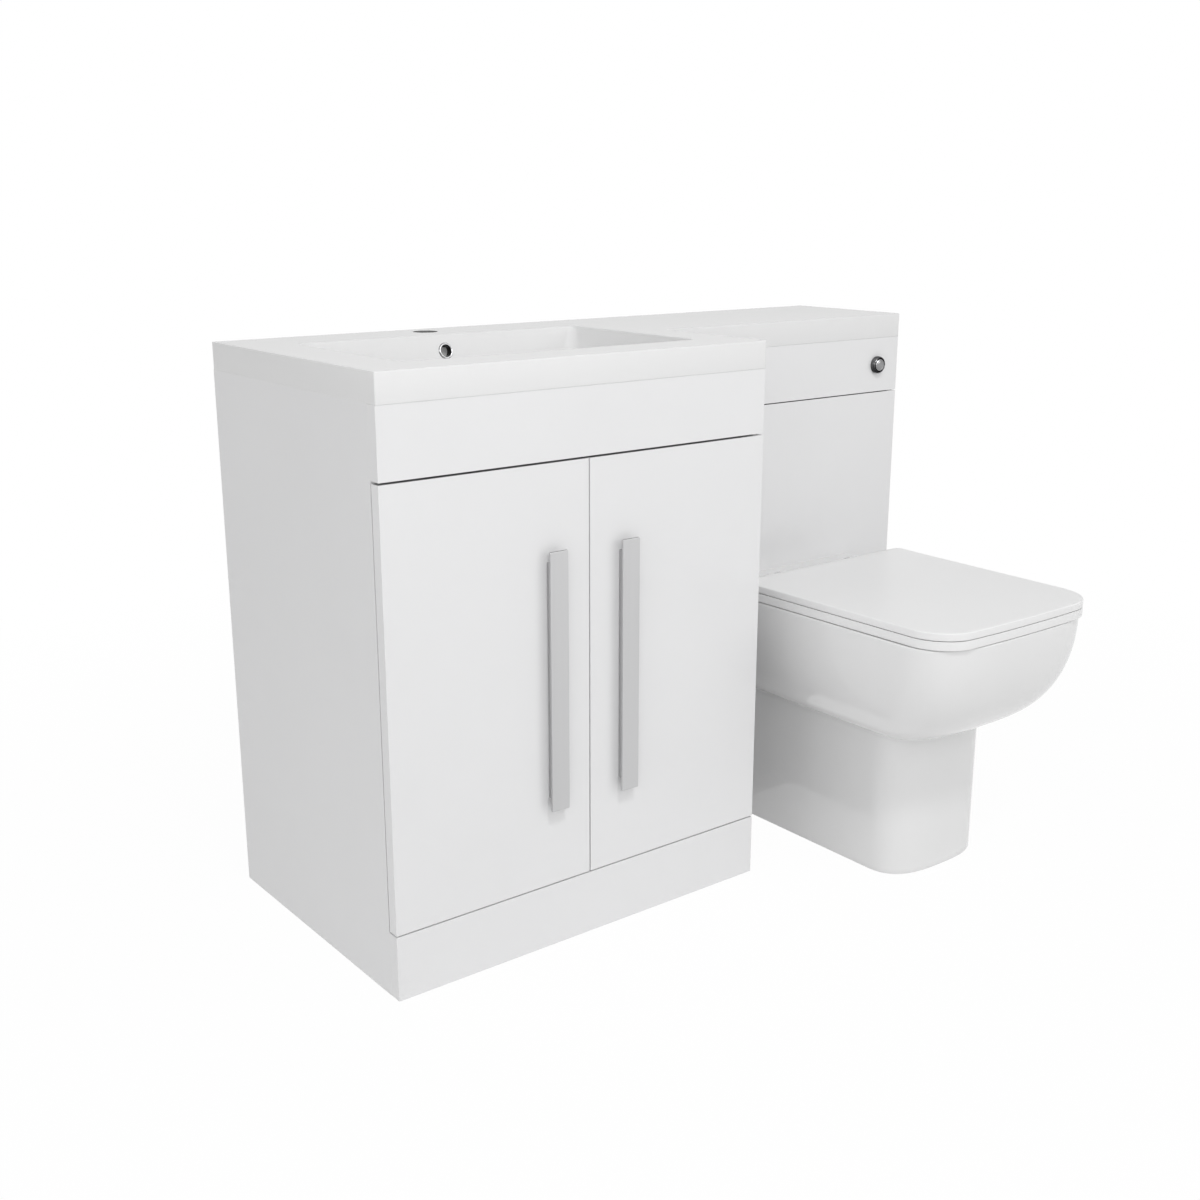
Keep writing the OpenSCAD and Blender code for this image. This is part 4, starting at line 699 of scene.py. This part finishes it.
def wellRings(heights, inset, around=144, crowding=0.0):
    # sections of the bowl: a squared oval that shrinks and moves back from the mouth to the sump; crowding
    # draws the points together at the back wall, where the throat and the flush inlet open
    wide, length, far, power = pan["well"]
    lowWide, lowLong, lowFar, floor = pan["sump"]
    share = (np.clip((heights - floor) / (pan["rimHigh"] - floor), 0, 1) ** pan["wellPower"])[:, None]
    t = np.linspace(0, 2 * math.pi, around, endpoint=False)[None]
    t = t + crowding * np.cos(t)
    a = mixed(lowWide, wide, share) / 2 - inset[:, None]
    b = mixed(lowLong, length, share) / 2 - inset[:, None]
    reach = ovalReach(t, a, b, power)
    y = pan["back"] - mixed(lowFar, far, share) + reach * np.sin(t)
    return withHeight(np.stack([pan["x"] + reach * np.cos(t), y], -1), heights)


def pushedBack(points, hole):
    # a smooth hollow in the bowl's back wall: a round mouth that runs towards the cabinet and a little up
    high, radius, deep = hole
    outerEdge, band, rise = 1.16, 0.36, 0.2
    across, up = (points[..., 0] - pan["x"]) / radius, (points[..., 2] - high) / radius
    away = np.sqrt(across ** 2 + up ** 2)
    share = eased(np.clip((outerEdge - away) / band, 0, 1))
    behind = points[..., 1] > pan["back"] - pan["sump"][2]
    moved = points.copy()
    moved[..., 1] += np.where(behind, deep * share, 0)
    moved[..., 2] += np.where(behind, deep * rise * share, 0)
    return moved


fillet = pan["mouthFillet"]
across, along = quarter(fillet, 7)
mouthIn = np.concatenate([[-fillet - 1.5], -across])
mouthHigh = np.concatenate([[pan["rimHigh"]], pan["rimHigh"] - along])
wallHigh = np.linspace(pan["rimHigh"] - fillet - 3, pan["sump"][3] + pan["sumpFillet"] + 2, 120)
grooveDown, grooveWide, grooveDeep = pan["groove"]
groove = np.clip(np.sin((pan["rimHigh"] - grooveDown - wallHigh) / grooveWide * math.pi), 0, 1)
groove[wallHigh < pan["rimHigh"] - grooveDown - grooveWide] = 0
across, along = quarter(pan["sumpFillet"], 9)
wellHigh = np.concatenate([mouthHigh, wallHigh, pan["sump"][3] + across])
wellIn = np.concatenate([mouthIn, -grooveDeep * groove ** 2, along])
inside = wellRings(wellHigh, wellIn, around=240, crowding=0.6)
inside = pushedBack(pushedBack(inside, pan["throat"]), pan["inlet"])
panPatches.append(ringPatch(inside, True))
sumpMiddle = np.array([[pan["x"], pan["back"] - pan["sump"][2], pan["sump"][3]]])
panPatches.append(fanPatch(inside[-1], sumpMiddle))
panPatches.append(holedPatch([panOuter[-1], inside[0]], (0, 0, 1)))

# below the ceiling: the outside of the bowl's lowest part, the trapway and its spigot
sumpLow = pan["sump"][3]
shellHigh = np.concatenate([[sumpLow - pan["wall"]] * 2, np.linspace(sumpLow, pan["ceiling"] + 3, 8)])
shellOut = np.concatenate([[pan["wall"] - 8, pan["wall"] - 3], np.full(8, pan["wall"])])
shell = wellRings(shellHigh, -shellOut)
panPatches += [ringPatch(shell), holedPatch([shell[0]], (0, 0, -1))]
trap = {"run": [(235, 178), (200, 202), (168, 214), (138, 213), (112, 203), (88, 188), (66, 180),
                (44, 180)],
        "outer": 48.0, "spigot": (51.0, 44.0, 22.0), "mid": 180.0}
trapPath = curvePath([(pan["x"], pan["back"] - u, z) for u, z in trap["run"]])
panPatches.append(ringPatch(sweep(trapPath, trap["outer"]), True))
spigotR, boreR, out = trap["spigot"]
spigotRun = [(trap["outer"] - 2, -46), (trap["outer"], -45), (spigotR, -44), (spigotR, out - 1.5),
             (spigotR - 1.5, out), (boreR + 1, out), (boreR, out - 1), (boreR, -40), (0.01, -40)]
panPatches.append(lathe(spigotRun, (pan["x"], pan["back"], trap["mid"]), "y"))
dress("toilet_pan", panPatches, "pan", crease=38)
print("pan made")

# seat and lid: plates of one outline, hinged on two posts; their sides are drawn in painted shade,
# a little darker than their tops
seat = {"x": 840.0, "back": -324.0, "wide": 350.0, "long": 385.0, "corners": (12.0, 56.0), "bow": 6.0,
        "taper": 6.0, "low": 386.5, "thick": 12.0, "hole": (216.0, 258.0, 2.4), "holeAt": -533.0,
        "lowMore": 0.2, "axis": (-304.0, 395.5), "earWide": 13.0, "earRound": 8.0, "earX": (90.4, 64.6),
        "lidLow": 399.8, "lidThick": 11.5, "crown": 0.9, "roll": (2.4, 2.9), "rollCorner": (0.1, 1.1),
        "backRoll": 0.3, "rollFrom": 6, "rollOver": 26, "seatBand": 0.3, "lidBand": 2.2, "bandShade": 0.07}


def lidOutline(insets):
    # outline of seat and lid moved in: arcs at four corners, sides that taper and a front that bows out
    half, (r0, r1) = seat["wide"] / 2, seat["corners"]
    length = seat["long"] - seat["bow"]
    i = np.asarray(insets, float)[:, None]

    def arc(x, u, r, start):
        angle = math.radians(start) - np.radians(np.linspace(0, 90, 14))[None]
        return x + (r - i) * np.cos(angle), u + (r - i) * np.sin(angle)

    along = np.linspace(r0, length - r1, 14)[None, 1:-1] + 0 * i
    across = np.linspace(r1 - half, half - r1, 25)[None, 1:-1] + 0 * i
    runs = [arc(r0 - half, r0, r0, 270), (i - half + 0 * along, along),
            arc(r1 - half, length - r1, r1, 180), (across, length - i + 0 * across),
            arc(half - r1, length - r1, r1, 90), (half - i + 0 * along, along[:, ::-1]),
            arc(half - r0, r0, r0, 0)]
    x, u = (np.concatenate(values, 1) for values in zip(*runs))
    share = u / length
    forward = seat["bow"] * (1 - (x / half) ** 2) * np.clip(2 * share - 1, 0, None)
    return np.stack([seat["x"] + x * (1 - seat["taper"] / half * share), seat["back"] - u - forward], -1)


def ovalRings(insets, around=120):
    wide, length, power = seat["hole"]
    t = np.linspace(0, 2 * math.pi, around, endpoint=False)[None]
    i = np.asarray(insets, float)[:, None]
    reach = ovalReach(t, wide / 2 - i, length / 2 - i, power)
    return np.stack([seat["x"] + reach * np.cos(t), seat["holeAt"] + reach * np.sin(t)], -1)


def crossPlate(outline, middle, x, wide, roll):
    # a plate square to x; roll gives how far its outline moves in at each distance from a face
    inset, way = np.array(roll).T
    away = outline - middle
    scale = 1 - np.concatenate([inset, inset[::-1]])[:, None, None] / np.linalg.norm(away, axis=1)[:, None]
    across = np.concatenate([x - wide / 2 + way, (x + wide / 2 - way)[::-1]])
    rings = turned(withHeight(middle + away * scale, across), "x")
    return [ringPatch(rings), holedPatch([rings[0]], (-1, 0, 0)), holedPatch([rings[-1]], (1, 0, 0))]


def roundHead(y, z, radius, low, high):
    # points of an arc about an axis along x, from the low to the high angle in degrees
    angle = np.radians(np.linspace(low, high, 22))
    return np.stack([y + radius * np.cos(angle), z + radius * np.sin(angle)], 1)


def ear(x, low, thick):
    # a hinge ear: a round about the axis, run forwards into the plate's back edge
    front = seat["back"] - 4
    head = roundHead(*seat["axis"], seat["earRound"], -80, 100)
    outline = np.vstack([head, [(front, low + thick - 1.5), (front, low + 1.5)]])
    return crossPlate(outline, outline.mean(0), x, seat["earWide"],
                      [(1.2, 0), (0.6, 0.15), (0.2, 0.5), (0, 1.2)])


def filletRun(low, high, lowEdge, highEdge):
    # insets and heights from a bottom fillet to a top fillet, each with its own radius
    hold = 1.2
    (lowAcross, lowAlong), (highAcross, highAlong) = quarter(lowEdge, 7), quarter(highEdge, 7)
    inset = np.concatenate([[lowEdge + hold], lowAcross, highAlong, [highEdge + hold]])
    height = np.concatenate([[low], low + lowAlong, high - highAcross, [high]])
    return inset, height


seatLow, seatHigh = seat["low"] - seat["lowMore"], seat["low"] + seat["thick"]
inset, height = filletRun(seatLow, seatHigh, 0.3, 0.25)
plate = withHeight(lidOutline(inset), height)
holeIn, holeHigh = filletRun(seatLow, seatHigh, 2.0, 6.0)
hole = withHeight(ovalRings(-holeIn), holeHigh)
seatPatches = [ringPatch(plate), ringPatch(hole, True), holedPatch([plate[0], hole[0]], (0, 0, -1)),
               holedPatch([plate[-1], hole[-1]], (0, 0, 1))]
lidPatches = []
for sign in (-1, 1):
    seatPatches += ear(seat["x"] + sign * seat["earX"][0], seat["low"], seat["thick"])
    lidPatches += ear(seat["x"] + sign * seat["earX"][1], seat["lidLow"], seat["lidThick"])
# painted shade on the seat's sides and underside
dress("toilet_seat_ring", seatPatches, "seat",
      shade=lambda p: np.where(p[:, 2] < seatHigh - seat["seatBand"], seat["bandShade"], 0.0))

# the lid's side rolls over, less so at the back edge, into a top that rises to the middle by a fourth power
lidLow, top = seat["lidLow"], seat["lidLow"] + seat["lidThick"]
rollIn, rollDown = seat["roll"]
cornerIn, cornerDown = seat["rollCorner"]
roll = bend(np.array([0.0, top - rollDown]), np.array([cornerIn, top - cornerDown]),
            np.array([rollIn, top - seat["crown"]]), np.linspace(0, 1, 9)[:, None])
lowRun = np.array([(3.0, lidLow), (2.0, lidLow), (0.25, lidLow), (0.1, lidLow + 0.03), (0.03, lidLow + 0.1),
                   (0, lidLow + 0.25)])
run = np.vstack([lowRun, roll])
backRun = run[:, 0] * np.where(np.arange(len(run)) < len(lowRun), 1, seat["backRoll"])
wide, tight = lidOutline(run[:, 0]), lidOutline(backRun)
fromBack = seat["back"] - wide[len(lowRun)][:, 1]
ahead = eased(np.clip((fromBack - seat["rollFrom"]) / seat["rollOver"], 0, 1))[None, :, None]
lidSide = withHeight(tight + (wide - tight) * ahead, run[:, 1])
middle = np.array([seat["x"], seat["back"] - seat["long"] / 2])
share = np.array([0.96, 0.9, 0.8, 0.66, 0.5, 0.34, 0.18, 0.06])
crownFlat = middle + (lidSide[-1][None, :, :2] - middle) * share[:, None, None]
crownRings = withHeight(crownFlat, top - seat["crown"] * share ** 4)
lidTop = np.concatenate([lidSide, crownRings])
lidPatches += [ringPatch(lidTop), fanPatch(lidTop[-1], np.array([[middle[0], middle[1], top]]))]
underRun = np.array([(3.0, 0), (13, 0), (14.4, 0.3), (15.6, 1.2), (16.6, 3.0), (18, 4.2), (20, 4.6)])
under = withHeight(lidOutline(underRun[:, 0]), lidLow + underRun[:, 1])
lidPatches += [ringPatch(under, True), holedPatch([under[-1]], (0, 0, -1))]
# painted shade on the lid's sides and underside
dress("toilet_lid_shell", lidPatches, "lid",
      shade=lambda p: np.where(p[:, 2] < top - seat["lidBand"], seat["bandShade"], 0.0))

# hinge posts: a round foot on the pan with a bolt below, an upright with a round head, and the pin through
# seat and lid
hinge = {"foot": (12.5, 2.0), "wide": 12.0, "deep": 16.2, "pin": 4.5, "pinLong": 38.8, "bolt": (4.0, 36.0),
         "x": 77.5, "round": 0.6}
postPatches = []
axisY, axisZ = seat["axis"]
footR, footHigh = hinge["foot"]
boltR, boltLong = hinge["bolt"]
rim, half, pinHalf = pan["rimHigh"], hinge["deep"] / 2, hinge["pinLong"] / 2
footRun = softened([(0.01, 0), (footR, 0), (footR, footHigh), (0.01, footHigh)], hinge["round"])
boltRun = [(0.01, -boltLong), (boltR - 1, -boltLong), (boltR, 1 - boltLong), (boltR, 0.2), (0.01, 0.2)]
pinRun = softened([(0.01, -pinHalf), (hinge["pin"], -pinHalf), (hinge["pin"], pinHalf), (0.01, pinHalf)],
                  hinge["round"])
postOutline = np.vstack([roundHead(axisY, axisZ, half, 0, 180),
                         [(axisY - half, rim + 1), (axisY + half, rim + 1)]])
for sign in (-1, 1):
    x = seat["x"] + sign * hinge["x"]
    postPatches += [lathe(footRun, (x, axisY, rim), "z"), lathe(boltRun, (x, axisY, rim), "z", 32)]
    postPatches += crossPlate(postOutline, np.array([axisY, axisZ - 2]), x, hinge["wide"],
                              [(0.7, 0), (0.2, 0.2), (0, 0.7)])
    postPatches.append(lathe(pinRun, (x, axisY, axisZ), "x", 40))
dress("seat_hinge_posts", postPatches, "hinge_posts")
print("seat and lid made")

# push button: a stepped bezel on a threaded barrel, and a face with a groove, both with a painted
# reflection
button = {"at": (1050.0, -227.0, 696.0), "bezel": 13.9, "out": 8.2, "face": 9.9, "faceOut": 9.6,
          "long": 24.0, "gap": 1.1, "barrel": 12.7, "barrelLong": 44.0, "bezelShade": (0.8, 1.0),
          "faceShade": (0.52, 0.66), "glint": (-6.8, 7.2, 4.0), "glintShare": 1.1, "arcsTurn": 60.0}
outY, faceOut, well = -button["out"], -button["faceOut"], button["face"] + button["gap"]
bezelR, faceR, barrelR = button["bezel"], button["face"], button["barrel"]
bezelRun = softened([(barrelR, button["barrelLong"]), (barrelR, 0), (bezelR, 0), (bezelR, outY + 2.6),
                     (bezelR - 1.6, outY), (well + 0.7, outY), (well, outY + 0.8), (well - 0.2, outY + 9),
                     (faceR + 0.3, 20), (faceR + 0.3, button["barrelLong"] + 0.5)],
                    [0, 0.3, 0.2, 1.4, 0.9, 0.5, 0.5, 0.3, 0.3, 0])
faceRun = softened([(0.01, button["long"] + faceOut), (faceR, button["long"] + faceOut),
                    (faceR, faceOut + 1.8), (faceR - 1.2, faceOut + 0.55), (faceR - 2.6, faceOut + 0.35),
                    (faceR - 3.1, faceOut + 0.75), (faceR - 3.7, faceOut + 0.35), (4.0, faceOut + 0.04),
                    (0.01, faceOut)],
                   [0, 0.4, 1.0, 0.7, 0.4, 0.3, 0.4, 2.0, 0])


def buttonPaintedReflection(low, high):
    # painted reflection of polished metal in a bright room: dark arcs about the centre, and a painted
    # highlight at the upper left
    def shade(p):
        across, up = p[:, 0] - button["at"][0], p[:, 2] - button["at"][2]
        glintX, glintZ, spread = button["glint"]
        arcs = 0.5 + 0.5 * np.cos(2 * (np.arctan2(up, across) - math.radians(button["arcsTurn"])))
        glint = np.exp(-((across - glintX) ** 2 + (up - glintZ) ** 2) / spread)
        dark = low + (high - low) * arcs * np.clip(np.hypot(across, up) / 12, 0, 1)
        return np.clip(dark - button["glintShare"] * glint, 0, 1)
    return shade


dress("flush_bezel", [lathe(bezelRun[::-1], button["at"], "y", 72)], "button_bezel",
      shade=buttonPaintedReflection(*button["bezelShade"]))
dress("flush_face", [lathe(faceRun[::-1], button["at"], "y", 72)], "flush_button",
      shade=buttonPaintedReflection(*button["faceShade"]))

# overflow ring: a tube and a rounded flange, turned about an axis square to the bowl's leaning back wall
trim = {"tube": 8.9, "bore": 7.7, "deep": 6.0, "flange": 11.6, "out": 2.2, "darkBore": 8.2, "darkRim": 11.0}
tubeR, boreR, flangeR = trim["tube"], trim["bore"], trim["flange"]
ringRun = softened([(tubeR, trim["deep"]), (boreR, trim["deep"]), (boreR, 0.6), (boreR + 0.7, -1.4),
                    (flangeR - 2.2, -trim["out"]), (flangeR - 1.2, 0.2 - trim["out"]), (flangeR, -0.2),
                    (flangeR, 0), (tubeR, 0), (tubeR, trim["deep"])],
                   [0, 0.3, 0.5, 0.7, 0.5, 0.6, 0.1, 0.1, 0.1, 0])
ringPoints, ringFaces = lathe(ringRun[::-1], (0, 0, 0), "y", 60)
tilt = np.array([[1, 0, 0], inward, upWall])


def ringShade(p):
    # painted shade: the bore is dark and the flange's outer edge half as dark
    away = fromOverflow(p)[1]
    return np.where(away < trim["darkBore"], 1.0, np.where(away > trim["darkRim"], 0.5, 0.0))


dress("overflow_trim", [(ringPoints @ tilt + overflowAt, ringFaces)], "overflow_ring", shade=ringShade)

# plug: a shallow dome with a rolled edge on its stem
plug = {"radius": 29.0, "low": 665.1, "rise": 5.4, "stem": 4.0, "stemLow": 602.0}
plugR, plugLow, stemR = plug["radius"], plug["low"], plug["stem"]
plugRun = softened([(0.01, plug["stemLow"]), (stemR, plug["stemLow"]), (stemR, plugLow), (plugR, plugLow),
                    (plugR, plugLow + 2.6), (plugR - 5, plugLow + 4.4), (12, plugLow + 5.3),
                    (0.01, plugLow + plug["rise"])], [0, 0.6, 0.8, 0.8, 1.4, 3, 5, 0])
dress("plug_dome", [lathe(plugRun, (wasteX, wasteY, 0), "z", 72)], "waste_plug")
print("trim made")

# camera and light
camera = bpy.data.objects.new("camera", bpy.data.cameras.new("camera"))
scene.collection.objects.link(camera)
scene.camera = camera
view = {"place": (-786.0, -1856.0, 961.0), "pitch": 74.54, "yaw": -37.74, "lens": 43.65, "sensor": 36.0}
camera.location = toFrame(view["place"])
camera.rotation_euler = [math.radians(a) for a in (view["pitch"], 0, view["yaw"])]
camera.data.lens = view["lens"]
camera.data.sensor_width = view["sensor"]

studio = {"sky": 0.38, "nearShare": 0.975, "fadeFrom": 0.7, "fadeTo": 2.0, "floorHalf": 12.0,
          "floorDown": 0.0005, "floorPaint": 0.86, "aim": (0.0, 0.0, 0.4)}
# each lamp's direction from the aim, its distance, its size and its power
lamps = {"keyLamp": ((-0.19, -0.54, 0.81), 3.5, (0.35, 0.35), 28.0),
         "highLamp": ((-0.10, -0.65, 0.75), 3.6, (2.4, 1.8), 11.0),
         "leftLamp": ((-0.60, -0.72, 0.34), 3.6, (2.4, 1.8), 20.5),
         "rightLamp": ((0.50, -0.80, 0.34), 3.6, (2.4, 1.8), 21.0),
         "sideLamp": ((-0.95, -0.17, 0.26), 3.6, (2.4, 1.8), 14.8)}


def softLamp(name, direction, far, size, power):
    # a lamp that stands the given distance from the aim in a direction, and faces it
    lamp = bpy.data.objects.new(name, bpy.data.lights.new(name, "AREA"))
    lamp.data.shape = "RECTANGLE"
    lamp.data.size, lamp.data.size_y = size
    lamp.data.energy = power
    way = Vector(direction).normalized()
    lamp.location = Vector(studio["aim"]) + way * far
    lamp.rotation_euler = way.to_track_quat("Z", "Y").to_euler()
    scene.collection.objects.link(lamp)


def openTree(owner):
    owner.use_nodes = True
    owner.node_tree.nodes.clear()
    return owner.node_tree


def anyRay(tree, first, *others):
    # an output that is 1 where a ray is of one of these kinds
    rays = addNode(tree, "ShaderNodeLightPath")
    found = rays.outputs[first]
    for kind in others:
        either = addNode(tree, "ShaderNodeMath", operation="MAXIMUM")
        tree.links.new(found, either.inputs[0])
        tree.links.new(rays.outputs[kind], either.inputs[1])
        found = either.outputs[0]
    return found


for name, (direction, far, size, power) in lamps.items():
    softLamp(name, direction, far, size, power)

# the world lights the object at a plain level, and is white where the camera or a reflection sees it
world = bpy.data.worlds.new("studio")
scene.world = world
tree = openTree(world)
seen = anyRay(tree, "Is Camera Ray", "Is Glossy Ray", "Is Transmission Ray")
dim = addNode(tree, "ShaderNodeBackground", inputs={"Color": (1, 1, 1, 1), "Strength": studio["sky"]})
bright = addNode(tree, "ShaderNodeBackground", inputs={"Color": (1, 1, 1, 1), "Strength": 1.0})
choose = addNode(tree, "ShaderNodeMixShader")
out = addNode(tree, "ShaderNodeOutputWorld")
tree.links.new(seen, choose.inputs["Fac"])
linkUp(tree, (dim, 0, choose, 1), (bright, 0, choose, 2), (choose, 0, out, "Surface"))

# the floor glows to the camera and to reflections, a little less near the object, where its paint shows the
# shadow
half = studio["floorHalf"]
floorMesh = bpy.data.meshes.new("studioFloor")
floorMesh.from_pydata([(x, y, 0) for x, y in boxOutline(-half, -half, half, half)], [], [(0, 1, 2, 3)])
floor = bpy.data.objects.new("studioFloor", floorMesh)
scene.collection.objects.link(floor)
floor.location.z = -studio["floorDown"]
floorPaint = bpy.data.materials.new("studioFloor")
tree = openTree(floorPaint)
seen = anyRay(tree, "Is Camera Ray", "Is Glossy Ray")
share = addNode(tree, "ShaderNodeMath", operation="MULTIPLY")
place = addNode(tree, "ShaderNodeTexCoord")
away = addNode(tree, "ShaderNodeVectorMath", operation="LENGTH")
fade = addNode(tree, "ShaderNodeMapRange",
               inputs={"From Min": studio["fadeFrom"], "From Max": studio["fadeTo"],
                       "To Min": studio["nearShare"], "To Max": 1.0})
paint = addNode(tree, "ShaderNodeBsdfDiffuse", inputs={"Color": (*grey(studio["floorPaint"]), 1)})
glow = addNode(tree, "ShaderNodeEmission", inputs={"Color": (1, 1, 1, 1), "Strength": 1.0})
choose = addNode(tree, "ShaderNodeMixShader")
out = addNode(tree, "ShaderNodeOutputMaterial")
tree.links.new(seen, share.inputs[0])
linkUp(tree, (place, "Object", away, 0), (away, "Value", fade, "Value"), (fade, "Result", share, 1),
       (share, 0, choose, "Fac"), (paint, 0, choose, 1), (glow, 0, choose, 2), (choose, 0, out, "Surface"))
floorMesh.materials.append(floorPaint)

scene.view_settings.view_transform = "Standard"
